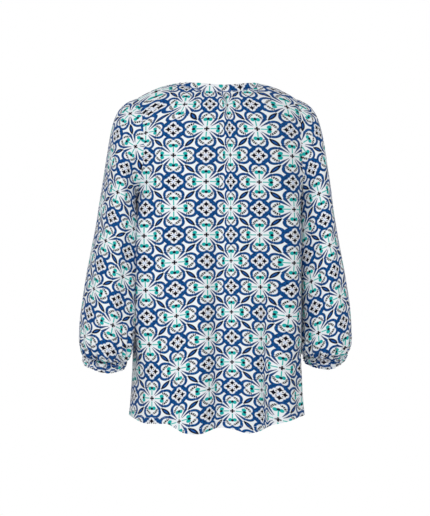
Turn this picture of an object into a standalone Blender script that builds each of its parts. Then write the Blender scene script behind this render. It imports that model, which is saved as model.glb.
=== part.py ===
"""Tunic top: a loose printed blouse that keeps the hollow form it has when worn.

Seven sewn pieces, each one wall of cloth: back and front panel, two balloon sleeves,
two elasticated cuffs and a neckband. +Z is up, the wearer faces +Y and the wearer's
right arm is at +X. The origin lies in the middle of the neck opening, at shoulder height.
"""

import math
from collections import namedtuple

import bpy
import numpy as np

# Driving dimensions, in metres.
WALL = 0.0014  # cloth of the panels and sleeves
CUFF_WALL = 0.0018  # two layers of cloth over an elastic
BAND_WALL = 0.0020  # folded neckband
SEAM_GAP = 0.0003  # between two pieces at a seam

NECK_HALF_WIDTH = 0.083
NECK_POINT_Z = 0.006  # where shoulder seam and neckband meet
NECK_SET_BACK = 0.025  # of the neck points, behind the side seams
BACK_NECK_Y = -0.071
FRONT_NECK_Y = 0.087
NECK_POWER = {-1: 2.1, 1: 2.6}  # roundness of the neckline, behind and in front
BAND_HEIGHT = 0.012
BAND_STAND = 1.8  # how strongly the band turns upright, against the slope of the panel
BAND_SOFTNESS = 4  # neighbours over which the band's turn at the neck points is spread

SHOULDER_HALF_WIDTH = 0.168
SHOULDER_SLOPE = 0.09  # at the neck
SHOULDER_BEND = 3.1  # how the slope steepens towards the arm
SHOULDER_LEAN = 0.02  # the right shoulder sits a little higher than the left
LEAN_FROM_Z = -0.25
LEAN_FULL_Z = -0.05
SHOULDER_SET_BACK = 0.010  # of the shoulder seam at the armhole
SEAM_TILT = 0.28  # the cloth still rises towards the front where it crosses the shoulder seam
SEAM_TILT_REACH = 0.03
SHOULDER_LENGTH = SHOULDER_HALF_WIDTH - NECK_HALF_WIDTH
SHOULDER_DROP = SHOULDER_SLOPE * SHOULDER_LENGTH + SHOULDER_BEND * SHOULDER_LENGTH**2
SHOULDER_Z = NECK_POINT_Z - SHOULDER_DROP

UNDERARM_Z = -0.2365
HEM_SIDE_Z = -0.682
HEM_CENTRE_Z = -0.703
MIDDLE_Z = -0.45  # a height well inside the garment

WIDTH_POWER = 3.0  # superellipse powers of the torso's sections and of its shoulder arc
HEIGHT_POWER = 2.6
OVER_POWER = 1.8
ARMHOLE_POWER = 4.0  # how quickly the armhole opens above the underarm
FRONT_SCOOP = 0.08  # the front armhole is cut this much deeper

CUFF_TOP_Z = -0.560
CUFF_HEIGHT = 0.022
CUFF_HALF_WIDTH = 0.043
CUFF_HALF_DEPTH = 0.040
CUFF_X = 0.2345
CUFF_TILT = 0.12  # the cuffs' front edge is higher than their back edge
TILT_FROM_Z = -0.46
BICEPS_Z = -0.260

# The sleeve's head: how far its columns run on from the armhole, and back up from the biceps,
# at the underarm and in addition on the outer side.
LEAD_UNDERARM = 0.005
LEAD_OUTSIDE = 0.060
LEAD_POWER = 0.7
RISE_UNDERARM = 0.0285
RISE_OUTSIDE = 0.150
RISE_POWER = 1.6
HEAD_LEAN_IN = 0.17  # of the outer columns, from the biceps towards the shoulder
HEAD_SPREAD = 1.0  # how far the head stands out where it leaves the armhole
SIDE_PULL = 0.5  # how far front and back of the armhole point down the sleeve

# The gathers above a cuff start at one height and end at the casing's seam.
SLEEVE_GATHER_FROM_Z = -0.46
SLEEVE_GATHER_REACH = 0.09
CASING_REACH = 0.008

# The gathers below the neckband, as shares of the way from the underarm to the neckline.
NECK_GATHER_FROM = 0.55
NECK_GATHER_REACH = 0.35
NECK_GATHER_END = 0.04
NECK_GATHER_EDGE = 0.25  # share of the half neckline over which they die out at the neck points

GATHERS_NECK_BACK = 9
GATHERS_NECK_FRONT = 9
GATHER_DEPTH_NECK = 0.0022
GATHERS_CUFF = 14
GATHER_DEPTH_SLEEVE = 0.0030
RUCHE_DEPTH_CUFF = 0.0008

CLOTH_ROUGHNESS = 0.75
SHARP_EDGE = math.radians(60)

# How finely the walls are divided.
SHOULDER_COLUMNS = 7
NECK_COLUMNS = 32
CROWDING = 0.9  # of the neck's columns towards the neck points
NECK_ROW_POWER = {-1: 2.2, 1: 1.6}  # how late the rows bend down to the neckline, by side
BODY_ROWS = 7
ARMHOLE_ROWS = 14
SLEEVE_CAP_STEPS = (0.0, 0.12, 0.25, 0.38, 0.52, 0.68, 0.84, 1.0)

CUFF_RINGS = ((0.0, 0.0), (0.5, 1.0), (1.0, 0.8))  # share of the cuff's height, ruche

BACK = -1
FRONT = 1

Section = namedtuple("Section", "z half_width back front depth_power")
TORSO = (
    Section(-0.703, 0.1820, 0.129, 0.136, 2.6),
    Section(-0.630, 0.1765, 0.127, 0.134, 2.7),
    Section(-0.577, 0.1735, 0.126, 0.132, 2.7),
    Section(-0.500, 0.1735, 0.124, 0.130, 2.8),
    Section(-0.400, 0.1733, 0.121, 0.128, 2.9),
    Section(-0.300, 0.1725, 0.119, 0.126, 3.0),
    Section(UNDERARM_Z, 0.1722, 0.118, 0.125, 3.0),
    Section(-0.206, 0.1795, 0.118, 0.125, 2.4),
    Section(-0.173, 0.1926, 0.117, 0.124, 1.8),
    Section(-0.134, 0.2076, 0.117, 0.122, 1.4),
    Section(-0.087, 0.2146, 0.117, 0.120, 1.3),
    Section(SHOULDER_Z, 0.2189, 0.117, 0.118, 1.3),
)

Ring = namedtuple("Ring", "z centre half_width half_depth fine")
SLEEVE = (
    Ring(BICEPS_Z, 0.2113, 0.0351, 0.078, False),
    Ring(-0.310, 0.2168, 0.0399, 0.079, False),
    Ring(-0.360, 0.2218, 0.0442, 0.080, False),
    Ring(-0.410, 0.2272, 0.0485, 0.082, False),
    Ring(-0.460, 0.2317, 0.0518, 0.084, True),
    Ring(-0.503, 0.2338, 0.0529, 0.084, True),
    Ring(-0.528, 0.2340, 0.0525, 0.082, True),
    Ring(-0.544, 0.2333, 0.0495, 0.074, True),
    Ring(-0.554, 0.2335, 0.0460, 0.060, True),
    Ring(CUFF_TOP_Z, CUFF_X, CUFF_HALF_WIDTH, CUFF_HALF_DEPTH, True),
)

# The hem hangs lower where the cloth flutes outwards; place and width are along X.
Flute = namedtuple("Flute", "side place width drop")
FLUTES = (
    Flute(BACK, -0.074, 0.034, 0.0075),
    Flute(BACK, 0.036, 0.024, 0.0065),
    Flute(FRONT, -0.030, 0.032, 0.0050),
    Flute(FRONT, 0.062, 0.030, 0.0050),
)

# The largest folds: soft troughs that run down to the hem. Across is the share of the
# panel's half width, towards +X; a trough has its full depth at the hem.
Fold = namedtuple("Fold", "side across width depth top")
FOLDS = (
    Fold(BACK, -0.19, 0.085, 0.0100, -0.18),
    Fold(BACK, 0.31, 0.090, 0.0120, -0.35),
    Fold(BACK, -0.50, 0.080, 0.0080, -0.36),
    Fold(BACK, 0.66, 0.080, 0.0060, -0.42),
    Fold(FRONT, -0.38, 0.090, 0.0090, -0.30),
    Fold(FRONT, 0.05, 0.090, 0.0080, -0.38),
    Fold(FRONT, 0.45, 0.085, 0.0100, -0.28),
)


def column(rows, name):
    """One named column of a table, as an array."""
    return np.array([getattr(row, name) for row in rows], float)


def through(knots, values, at):
    """A smooth curve through a table's points: cubics whose slopes come from the neighbours."""
    slopes = np.gradient(values, knots)
    at = np.clip(at, knots[0], knots[-1])
    i = np.clip(np.searchsorted(knots, at) - 1, 0, len(knots) - 2)
    step = knots[i + 1] - knots[i]
    t = (at - knots[i]) / step
    start = values[i] * (1 + 2 * t) * (1 - t) ** 2 + slopes[i] * step * t * (1 - t) ** 2
    end = values[i + 1] * t * t * (3 - 2 * t) - slopes[i + 1] * step * t * t * (1 - t)
    return start + end


def ease(t):
    """Rises smoothly from 0 to 1."""
    t = np.clip(t, 0.0, 1.0)
    return t * t * (3 - 2 * t)


def signed_power(value, power):
    return np.sign(value) * np.abs(value) ** power


def unit(vectors):
    return vectors / np.linalg.norm(vectors, axis=-1, keepdims=True)


def even_angles(half_width, half_depth, power):
    """Angles from the side (0) to the middle (a right angle), evenly spaced along the arc."""
    angle = np.linspace(0, math.pi / 2, 2001)
    x = half_width * np.cos(angle) ** (2 / power)
    y = half_depth * np.sin(angle) ** (2 / power)
    length = np.concatenate([[0], np.cumsum(np.hypot(np.diff(x), np.diff(y)))])
    return length / length[-1], angle


# Typical half width and half depth of the body and of a sleeve.
TORSO_ARC = even_angles(0.175, 0.120, WIDTH_POWER)
SLEEVE_ARC = even_angles(0.045, 0.080, 2.0)


def torso_angle(across):
    """The section angle of a place given as a share of the half width, -1 to 1."""
    share, angle = TORSO_ARC
    near = np.interp(1 - np.abs(across), share, angle)
    return np.where(across >= 0, near, math.pi - near)


def torso_across(angle):
    """The reverse of torso_angle, for angles up to a right angle."""
    share, angles = TORSO_ARC
    return 1 - np.interp(angle, angles, share)


def ridge_height(x):
    """Height of the shoulder seam, with a parabola across the neck that it would run into."""
    along = np.abs(x) - NECK_HALF_WIDTH
    outside = NECK_POINT_Z - SHOULDER_SLOPE * along - SHOULDER_BEND * along**2
    peak = NECK_POINT_Z + SHOULDER_SLOPE * NECK_HALF_WIDTH / 2
    inside = peak - (peak - NECK_POINT_Z) * (x / NECK_HALF_WIDTH) ** 2
    return np.where(np.abs(x) > NECK_HALF_WIDTH, outside, inside)


def ridge_y(x):
    """How far the shoulder seam lies towards +Y: behind the side seams, most at the neck."""
    share = (SHOULDER_HALF_WIDTH - np.abs(x)) / SHOULDER_LENGTH
    return -SHOULDER_SET_BACK - (NECK_SET_BACK - SHOULDER_SET_BACK) * np.clip(share, 0, 1)


def rise_parts(rise):
    """Splits rise (0 hem, 1 underarm, 2 shoulder seam) into body share, arc angle and height share."""
    body = np.clip(rise, 0, 1)
    over = np.clip(rise - 1, 0, 1) * math.pi / 2
    return body, over, np.sin(over) ** (2 / HEIGHT_POWER)


def hem_height(side, angle):
    """Height of the hem: lowest in the middle of a panel and where it flutes outwards."""
    height = HEM_SIDE_Z + (HEM_CENTRE_Z - HEM_SIDE_Z) * np.sin(angle) ** 2
    x = TORSO[0].half_width * signed_power(np.cos(angle), 2 / WIDTH_POWER)
    for flute in FLUTES:
        if flute.side == side:
            height = height - flute.drop * np.exp(-(((x - flute.place) / flute.width) ** 2))
    return height


def torso(side, angle, rise):
    """The filled-out form that the panels follow.

    Below the underarm it is a stack of superellipse sections; above, each section point
    climbs a superelliptic arc that ends level at the shoulder seam.
    """
    body, over, height = rise_parts(rise)
    hem = hem_height(side, angle)
    below = hem + body * (UNDERARM_Z - hem)
    nominal = np.where(rise < 1, below, UNDERARM_Z + height * (SHOULDER_Z - UNDERARM_Z))
    knots = column(TORSO, "z")
    half_width = through(knots, column(TORSO, "half_width"), nominal)
    depth = through(knots, column(TORSO, "back" if side == BACK else "front"), nominal)
    depth_power = through(knots, column(TORSO, "depth_power"), nominal)
    x = half_width * signed_power(np.cos(angle), 2 / WIDTH_POWER)
    reach = depth * signed_power(np.sin(angle), 2 / depth_power) * np.cos(over) ** (2 / OVER_POWER)
    y = side * reach + ridge_y(x) * height**2
    tilt = SEAM_TILT * SEAM_TILT_REACH * np.tanh(side * reach / SEAM_TILT_REACH) * height**8
    z = np.where(rise < 1, below, UNDERARM_Z + height * (ridge_height(x) - UNDERARM_Z) + tilt)
    return np.stack([x, y, z], axis=-1)


def torso_normal(side, angle, rise):
    """Outward unit normal of the form, from small steps along both of its parameters."""
    step = 1e-4
    round_it = torso(side, angle + step, rise) - torso(side, angle - step, rise)
    up = torso(side, angle, rise + step) - torso(side, angle, rise - step)
    normal = unit(np.cross(round_it, up))
    from_middle = torso(side, angle, rise) - np.array([0, 0, MIDDLE_Z])
    return normal * np.sign((normal * from_middle).sum(axis=-1, keepdims=True))


def armhole_angle(side, rise):
    """The section angle at which a panel ends at the armhole."""
    _, _, height = rise_parts(rise)
    top = TORSO[-1]
    at_seam = (1 - (SHOULDER_HALF_WIDTH / top.half_width) ** WIDTH_POWER) ** (1 / top.depth_power)
    scoop = 1 + (FRONT_SCOOP if side == FRONT else 0) * np.sin(math.pi * height)
    share = at_seam * scoop * np.sqrt(1 - (1 - height) ** ARMHOLE_POWER)
    knots = column(TORSO, "z")
    nominal = UNDERARM_Z + height * (SHOULDER_Z - UNDERARM_Z)
    depth_power = through(knots, column(TORSO, "depth_power"), nominal)
    return np.arcsin(share ** (depth_power / 2))


def armhole_rises(side, rows):
    """Rises that divide one half of the armhole into even lengths, underarm to shoulder."""
    dense = np.linspace(1, 2, 800)
    line = torso(side, armhole_angle(side, dense), dense)
    length = np.concatenate([[0], np.cumsum(np.linalg.norm(np.diff(line, axis=0), axis=1))])
    return np.interp(np.linspace(0, length[-1], rows + 1), length, dense)


def neck_share():
    """The share of the panel's top edge, from its middle, that belongs to the neck."""
    top = TORSO[-1]
    angle = math.acos((NECK_HALF_WIDTH / top.half_width) ** (WIDTH_POWER / 2))
    return float(torso_across(angle) / torso_across(armhole_angle(BACK, np.array(2.0))))


def neck_rise(side, across):
    """The rise at which each column of a panel meets the neckline or the shoulder seam."""
    rise = np.linspace(1, 2, 1500)[:, None]
    angle = torso_angle(across * torso_across(armhole_angle(side, rise)))
    x, y, _ = np.moveaxis(torso(side, angle, rise), -1, 0)
    reach = (BACK_NECK_Y if side == BACK else FRONT_NECK_Y) + NECK_SET_BACK
    power = NECK_POWER[side]
    deep = np.maximum((y + NECK_SET_BACK) / reach, 0)
    outside = np.abs(x / NECK_HALF_WIDTH) ** power + deep**power - 1
    first = np.argmax(outside < 0, axis=0)
    columns = np.arange(len(across))
    before, after = outside[first - 1, columns], outside[first, columns]
    share = before / (before - after)
    found = rise[first - 1, 0] + share * (rise[1, 0] - rise[0, 0])
    return np.where((np.abs(across) < neck_share() - 1e-6) & (first > 0), found, 2.0)


def fold_offset(side, across, z):
    """How far the folds push a panel inwards (negative) at a place."""
    offset = np.zeros(np.broadcast(across, z).shape)
    for fold in FOLDS:
        if fold.side == side:
            trough = np.exp(-(((across - fold.across) / fold.width) ** 2))
            grown = ease((fold.top - z) / (fold.top - HEM_CENTRE_Z))
            offset -= fold.depth * trough * grown
    return offset


def gather_offset(side, across, share):
    """Ripples below the neckband; share runs from the underarm (0) to the neckline (1)."""
    count = GATHERS_NECK_BACK if side == BACK else GATHERS_NECK_FRONT
    place = across / neck_share()
    window = ease((1 - np.abs(place)) / NECK_GATHER_EDGE)
    fade = ease((share - NECK_GATHER_FROM) / NECK_GATHER_REACH) * ease((1 - share) / NECK_GATHER_END)
    return GATHER_DEPTH_NECK * np.cos(math.pi * count * place) * window * fade


def mirrored(points):
    return points * np.array([-1.0, 1.0, 1.0])


def leant(points):
    """The whole garment's slight lean: shoulders up on the right, down on the left."""
    share = ease((points[:, 2] - LEAN_FROM_Z) / (LEAN_FULL_Z - LEAN_FROM_Z))
    return points + (SHOULDER_LEAN * points[:, 0] * share)[:, None] * np.array([0, 0, 1.0])


def cuff_tilted(points):
    """Tilts the lower end of a sleeve, and its cuff, up towards the front."""
    share = ease((TILT_FROM_Z - points[:, 2]) / (TILT_FROM_Z - CUFF_TOP_Z))
    return points + (CUFF_TILT * points[:, 1] * share)[:, None] * np.array([0, 0, 1.0])


class Loop:
    """The right armhole: its points from the underarm over the front to the shoulder and back."""

    def __init__(self, rows):
        rise_front = armhole_rises(FRONT, rows)
        rise_back = armhole_rises(BACK, rows)
        front = self.half(FRONT, rise_front)
        back = self.half(BACK, rise_back)
        self.points = np.concatenate([front[0], back[0][-2:0:-1]])
        normals = np.concatenate([front[1], back[1][-2:0:-1]])
        normals[0] = unit(front[1][0] + back[1][0])
        normals[rows] = unit(front[1][-1] + back[1][-1])
        count = len(self.points)
        tangent = unit(np.roll(self.points, -1, axis=0) - np.roll(self.points, 1, axis=0))
        self.across = unit(np.cross(normals, tangent))
        share = np.arange(count) / count
        self.turn = math.pi - 2 * math.pi * share  # pi at the underarm, 0 at the shoulder
        self.end = biceps_point(self.turn)
        self.start = sleeve_start(self.across, self.points, self.end, self.turn)
        own = unit(np.cross(tangent, self.start))
        self.normals = unit(normals + own)
        self.across = unit(np.cross(self.normals, tangent))

    @staticmethod
    def half(side, rise):
        angle = armhole_angle(side, rise)
        return torso(side, angle, rise), torso_normal(side, angle, rise)

    def half_for_panel(self, side):
        """Edge points, wall directions and seam directions of one panel, underarm to shoulder."""
        rows = len(self.points) // 2
        if side == FRONT:
            order = np.arange(rows + 1)
        else:
            order = -np.arange(rows + 1) % len(self.points)
        return self.points[order], self.normals[order], self.across[order]


def sleeve_angle(turn):
    """Angle on the sleeve's ring for a turn, evenly spaced along the ring."""
    share, angles = SLEEVE_ARC
    place = np.abs(turn) / (math.pi / 2)
    quarter = np.where(place <= 1, np.interp(place, share, angles), math.pi)
    rest = math.pi - np.interp(2 - place, share, angles)
    return np.sign(turn) * np.where(place <= 1, quarter, rest)


def ring_point(ring, turn):
    """A point of an elliptic ring: turn 0 is the outer side, a positive turn the front."""
    angle = sleeve_angle(turn)
    x = ring.centre + ring.half_width * np.cos(angle)
    y = ring.half_depth * np.sin(angle)
    return np.stack([x, y, np.full_like(x, ring.z)], axis=-1)


def biceps_point(turn):
    return ring_point(SLEEVE[0], turn)


def outerness(turn):
    """1 on the sleeve's outer side, 0 at the underarm."""
    return ((1 + np.cos(turn)) / 2)[:, None]


def sleeve_start(across, points, end, turn):
    """Direction in which the sleeve leaves the armhole."""
    down = unit(end - points)
    angle = sleeve_angle(turn)
    outward = np.stack([np.cos(angle), np.sin(angle), np.zeros_like(angle)], axis=-1)
    pull = SIDE_PULL * np.sin(turn)[:, None] ** 2
    return unit(across + pull * down + HEAD_SPREAD * outerness(turn) * outward)


def sleeve_cap(loop, t):
    """The sleeve between armhole (t 0) and biceps ring (t 1): one cubic for each column."""
    outer = outerness(loop.turn)
    start = loop.points + loop.across * SEAM_GAP / 2
    lead = LEAD_UNDERARM + LEAD_OUTSIDE * outer**LEAD_POWER
    rise = RISE_UNDERARM + RISE_OUTSIDE * outer**RISE_POWER
    upwards = unit(np.concatenate([-HEAD_LEAN_IN * outer, 0 * outer, np.ones_like(outer)], axis=1))
    second = start + lead * loop.start
    third = loop.end + rise * upwards
    return (
        start * (1 - t) ** 3
        + 3 * second * t * (1 - t) ** 2
        + 3 * third * t * t * (1 - t)
        + loop.end * t**3
    )


def grid_normals(rows):
    """Normals of closed rings, from their neighbours along and across."""
    along = np.roll(rows, -1, axis=1) - np.roll(rows, 1, axis=1)
    down = np.gradient(rows, axis=0)
    return unit(np.cross(along, down))


def sleeve_rows():
    """Middle points and wall directions of the right sleeve, ring by ring."""
    loop = Loop(2 * ARMHOLE_ROWS)
    cap = [sleeve_cap(loop, t) for t in SLEEVE_CAP_STEPS]
    rings = []
    for ring in SLEEVE[1:]:
        points = ring_point(ring, loop.turn)
        grown = ease((SLEEVE_GATHER_FROM_Z - ring.z) / SLEEVE_GATHER_REACH)
        depth = GATHER_DEPTH_SLEEVE * grown * ease((ring.z - CUFF_TOP_Z) / CASING_REACH)
        ripple = depth * np.cos(GATHERS_CUFF * loop.turn)
        outward = unit(points - np.array([ring.centre, 0, ring.z]))
        rings.append(cuff_tilted(points + ripple[:, None] * outward))
    rows = np.array(cap + rings)
    normals = grid_normals(rows)
    normals[0] = loop.normals
    cuff_out = unit((rows[-1] - np.array([CUFF_X, 0, CUFF_TOP_Z])) * np.array([1, 1, 0]))
    normals[-1] = unit(normals[-1] + cuff_out)
    rows[-1, :, 2] += SEAM_GAP / 2
    fine = [False] * (len(cap)) + [ring.fine for ring in SLEEVE[1:]]
    points = [row if is_fine else row[::2] for row, is_fine in zip(rows, fine)]
    walls = [row if is_fine else row[::2] for row, is_fine in zip(normals, fine)]
    return points, walls


def cuff_rows():
    """The right cuff: three rings, ruched between its seam and its edge."""
    loop = Loop(2 * ARMHOLE_ROWS)
    top = SLEEVE[-1]
    sleeve_end = sleeve_rows()[1][-1]
    points, walls = [], []
    for share, ruche in CUFF_RINGS:
        z = CUFF_TOP_Z - SEAM_GAP / 2 - share * CUFF_HEIGHT
        ring = Ring(z, top.centre, top.half_width, top.half_depth, True)
        row = ring_point(ring, loop.turn)
        outward = unit(row - np.array([ring.centre, 0, z]))
        wave = RUCHE_DEPTH_CUFF * ruche * np.cos(GATHERS_CUFF * loop.turn)
        points.append(cuff_tilted(row + wave[:, None] * outward))
        walls.append(sleeve_end if share == 0 else outward)
    return points, walls


def panel_columns(side):
    """Shares across a panel, even over the shoulders and over the neck."""
    neck = neck_share()
    shoulder = np.linspace(neck, 1, SHOULDER_COLUMNS + 1)
    even = np.linspace(-1, 1, NECK_COLUMNS + 1)
    middle = neck * ((1 - CROWDING) * even + CROWDING * np.sin(even * math.pi / 2))
    across = np.concatenate([-shoulder[:0:-1], middle, shoulder[1:]])
    return across if side == BACK else across[::-1]


def panel_rows(side):
    """Middle points and wall directions of a panel, hem to top edge."""
    across = panel_columns(side)
    upper = armhole_rises(side, ARMHOLE_ROWS)
    rises = np.concatenate([np.linspace(0, 1, BODY_ROWS + 1)[:-1], upper])[:, None]
    top = neck_rise(side, across)
    rise = rises - (2 - top) * np.maximum(rises - 1, 0) ** NECK_ROW_POWER[side]
    edge = torso_across(armhole_angle(side, np.maximum(rise, 1)))
    angle = torso_angle(across * np.where(rise > 1, edge, 1.0))
    points = torso(side, angle, rise)
    normals = torso_normal(side, angle, rise)
    ridge = np.abs(across) >= neck_share() - 1e-6
    other = torso_normal(-side, angle[-1], rise[-1])
    normals[-1, ridge] = unit(normals[-1] + other)[ridge]
    share = np.broadcast_to(rises - 1, rise.shape)
    offset = fold_offset(side, across[None, :], points[..., 2]) + gather_offset(side, across, share)
    points = points + offset[..., None] * normals
    away = np.array([0, side * SEAM_GAP / 2, 0])
    edges = np.abs(across) > 1 - 1e-9
    points[: BODY_ROWS + 1, edges] += away
    points[-1, ridge] += away
    loop = Loop(ARMHOLE_ROWS)
    line, walls, seam = loop.half_for_panel(side)
    line = line - seam * SEAM_GAP / 2
    line[0] += away
    line[-1] += away
    right = -1 if side == BACK else 0
    left = 0 if side == BACK else -1
    points[BODY_ROWS:, right], normals[BODY_ROWS:, right] = line, walls
    points[BODY_ROWS:, left], normals[BODY_ROWS:, left] = mirrored(line), mirrored(walls)
    return points, normals, across


def around(directions, reach):
    """Directions of a closed line, each averaged with its neighbours on both sides."""
    return unit(sum(np.roll(directions, k, axis=0) for k in range(-reach, reach + 1)))


def band_rows():
    """The neckband: lower and upper edge, once round, with its wall directions."""
    lower, outward = [], []
    for side in (BACK, FRONT):
        across = panel_columns(side)
        across = across[np.abs(across) <= neck_share() + 1e-9]
        rise = neck_rise(side, across)
        edge = torso_across(armhole_angle(side, rise))
        angle = torso_angle(across * edge)
        points = torso(side, angle, rise)
        normals = torso_normal(side, angle, rise)
        other = torso_normal(-side, angle, rise)
        normals[[0, -1]] = unit(normals + other)[[0, -1]]
        lower.append(points[:-1])
        outward.append(normals[:-1])
    lower, outward = np.concatenate(lower), np.concatenate(outward)
    tangent = unit(np.roll(lower, -1, axis=0) - np.roll(lower, 1, axis=0))
    into_neck = unit(np.cross(outward, tangent))
    rising = unit(around(into_neck, BAND_SOFTNESS) + BAND_STAND * np.array([0, 0, 1.0]))
    band_out = unit(np.cross(tangent, rising))
    shared = unit(outward + band_out)
    start = lower + into_neck * SEAM_GAP / 2
    return [start, start + rising * BAND_HEIGHT], [shared, band_out], into_neck


def neck_edges(side):
    """Moves of a panel's neck columns away from the band, and their shared wall directions."""
    _, walls, into_neck = band_rows()
    first = 0 if side == BACK else NECK_COLUMNS
    order = np.arange(first, first + NECK_COLUMNS + 1) % (2 * NECK_COLUMNS)
    return -into_neck[order] * SEAM_GAP / 2, walls[0][order]


def strip_faces(first, second, count, next_count, closed):
    """Faces between two rows of points; the second may hold twice as many as the first."""
    faces = []
    for i in range(count if closed else count - 1):
        j = (i + 1) % count
        if count == next_count:
            faces.append((first + i, first + j, second + j, second + i))
        else:
            a, b, c = 2 * i, 2 * i + 1, (2 * i + 2) % next_count
            faces.append((first + i, second + b, second + a))
            faces.append((first + i, first + j, second + b))
            faces.append((first + j, second + c, second + b))
    return faces


def wall_object(name, points, walls, thickness, closed, color):
    """One closed wall of cloth: outer and inner points of each row, and the rims between."""
    outer = [leant(p + w * thickness / 2) for p, w in zip(points, walls)]
    inner = [leant(p - w * thickness / 2) for p, w in zip(points, walls)]
    counts = [len(row) for row in points]
    starts = np.concatenate([[0], np.cumsum(counts)])
    total = int(starts[-1])
    faces = []
    for r in range(len(points) - 1):
        first, second = int(starts[r]), int(starts[r + 1])
        side = strip_faces(first, second, counts[r], counts[r + 1], closed)
        faces += side
        faces += [tuple(v + total for v in face[::-1]) for face in side]
    last = int(starts[-2])
    rims = [(list(range(counts[0])), True), (list(range(last, last + counts[-1])), False)]
    if not closed:
        rims.append(([int(starts[r]) for r in range(len(points))], False))
        rims.append(([int(starts[r]) + counts[r] - 1 for r in range(len(points))], True))
    for line, forward in rims:
        pairs = list(zip(line, line[1:] + (line[:1] if closed else [])))
        pairs = pairs if closed else pairs[: len(line) - 1]
        for a, b in pairs:
            rim = (a, a + total, b + total, b)
            faces.append(rim if forward else rim[::-1])
    mesh = bpy.data.meshes.new(name)
    mesh.from_pydata(np.concatenate(outer + inner).tolist(), [], faces)
    mesh.shade_smooth()
    mesh.set_sharp_from_angle(angle=SHARP_EDGE)
    material = bpy.data.materials.new(name + "_cloth")
    material.use_nodes = True
    shader = material.node_tree.nodes["Principled BSDF"]
    shader.inputs["Base Color"].default_value = (*color, 1.0)
    shader.inputs["Roughness"].default_value = CLOTH_ROUGHNESS
    shader.inputs["Metallic"].default_value = 0.0
    mesh.materials.append(material)
    item = bpy.data.objects.new(name, mesh)
    bpy.context.scene.collection.objects.link(item)
    return item


def clear_scene():
    for item in list(bpy.data.objects):
        bpy.data.objects.remove(item)


def add_panels():
    for name, side, color in (
        ("back_panel", BACK, (0.20, 0.32, 0.58)),
        ("front_panel", FRONT, (0.19, 0.31, 0.57)),
    ):
        points, walls, across = panel_rows(side)
        neck = np.abs(across) <= neck_share() + 1e-9
        move, shared = neck_edges(side)
        points[-1, neck] += move
        walls[-1, neck] = shared
        wall_object(name, points, walls, WALL, False, color)


def add_sleeves_and_cuffs():
    for name, rows, thickness, color in (
        ("sleeve", sleeve_rows(), WALL, (0.18, 0.30, 0.56)),
        ("cuff", cuff_rows(), CUFF_WALL, (0.12, 0.22, 0.48)),
    ):
        points, walls = rows
        wall_object(name + "_right", points, walls, thickness, True, color)
        points = [mirrored(row[::-1]) for row in points]
        walls = [mirrored(row[::-1]) for row in walls]
        wall_object(name + "_left", points, walls, thickness, True, color)


def add_neckband():
    points, walls, _ = band_rows()
    wall_object("neckband", points, walls, BAND_WALL, True, (0.15, 0.26, 0.52))


clear_scene()
add_panels()
add_sleeves_and_cuffs()
add_neckband()
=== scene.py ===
"""Looks of the tunic top: thin printed cloth on the form of its seven solids.

+Z is up, the wearer faces +Y and the wearer's right arm is at +X. Sizes are in metres.
"""

import math
from collections import namedtuple
from functools import partial

import bpy
import numpy as np
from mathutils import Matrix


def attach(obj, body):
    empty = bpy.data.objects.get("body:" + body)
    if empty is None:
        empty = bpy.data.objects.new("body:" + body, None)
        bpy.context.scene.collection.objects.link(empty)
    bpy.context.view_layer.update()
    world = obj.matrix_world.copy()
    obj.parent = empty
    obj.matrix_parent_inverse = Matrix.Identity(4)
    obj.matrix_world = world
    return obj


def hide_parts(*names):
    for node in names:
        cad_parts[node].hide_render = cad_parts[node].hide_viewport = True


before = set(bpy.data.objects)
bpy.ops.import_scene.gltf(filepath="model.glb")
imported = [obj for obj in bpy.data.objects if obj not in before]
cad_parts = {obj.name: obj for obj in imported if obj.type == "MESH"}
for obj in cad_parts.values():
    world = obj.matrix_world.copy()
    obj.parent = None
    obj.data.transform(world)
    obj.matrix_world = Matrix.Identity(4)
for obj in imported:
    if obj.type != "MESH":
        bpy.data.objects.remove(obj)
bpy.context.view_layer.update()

BACK = -1
FRONT = 1
RIGHT = 1
LEFT = -1
UP = np.array([0.0, 0, 1])
MIRROR = np.array([-1.0, 1, 1])

# The cut, as the solids have it.
NECK_HALF_WIDTH = 0.083
NECK_POINT_Z = 0.006
NECK_SET_BACK = 0.025
BACK_NECK_Y = -0.071
FRONT_NECK_Y = 0.087
NECK_POWER = {BACK: 2.1, FRONT: 2.6}
BAND_HEIGHT = 0.012
BAND_STAND = 1.8
SHOULDER_HALF_WIDTH = 0.168
SHOULDER_SLOPE = 0.09
SHOULDER_BEND = 3.1
SHOULDER_LEAN = 0.02
LEAN_FROM_Z = -0.25
LEAN_FULL_Z = -0.05
SHOULDER_SET_BACK = 0.010
SEAM_TILT = 0.28
SEAM_TILT_REACH = 0.03
SHOULDER_LENGTH = SHOULDER_HALF_WIDTH - NECK_HALF_WIDTH
SHOULDER_DROP = SHOULDER_SLOPE * SHOULDER_LENGTH + SHOULDER_BEND * SHOULDER_LENGTH**2
SHOULDER_Z = NECK_POINT_Z - SHOULDER_DROP
UNDERARM_Z = -0.2365
HEM_SIDE_Z = -0.679
HEM_CENTRE_Z = -0.703
MIDDLE_Z = -0.45
WIDTH_POWER = 3.0
HEIGHT_POWER = 2.6
OVER_POWER = 1.8
ARMHOLE_POWER = 4.0
FRONT_SCOOP = 0.08
CUFF_TOP_Z = -0.560
CUFF_HEIGHT = 0.022
CUFF_HALF_WIDTH = 0.043
CUFF_HALF_DEPTH = 0.040
CUFF_X = 0.2345
CUFF_TILT = 0.12
TILT_FROM_Z = -0.46
BICEPS_Z = -0.260
LEAD_UNDERARM = 0.005
LEAD_OUTSIDE = 0.060
LEAD_POWER = 0.7
RISE_UNDERARM = 0.0285
RISE_OUTSIDE = 0.150
RISE_POWER = 1.6
HEAD_LEAN_IN = 0.17
HEAD_SPREAD = 1.0
SIDE_PULL = 0.5

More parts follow.
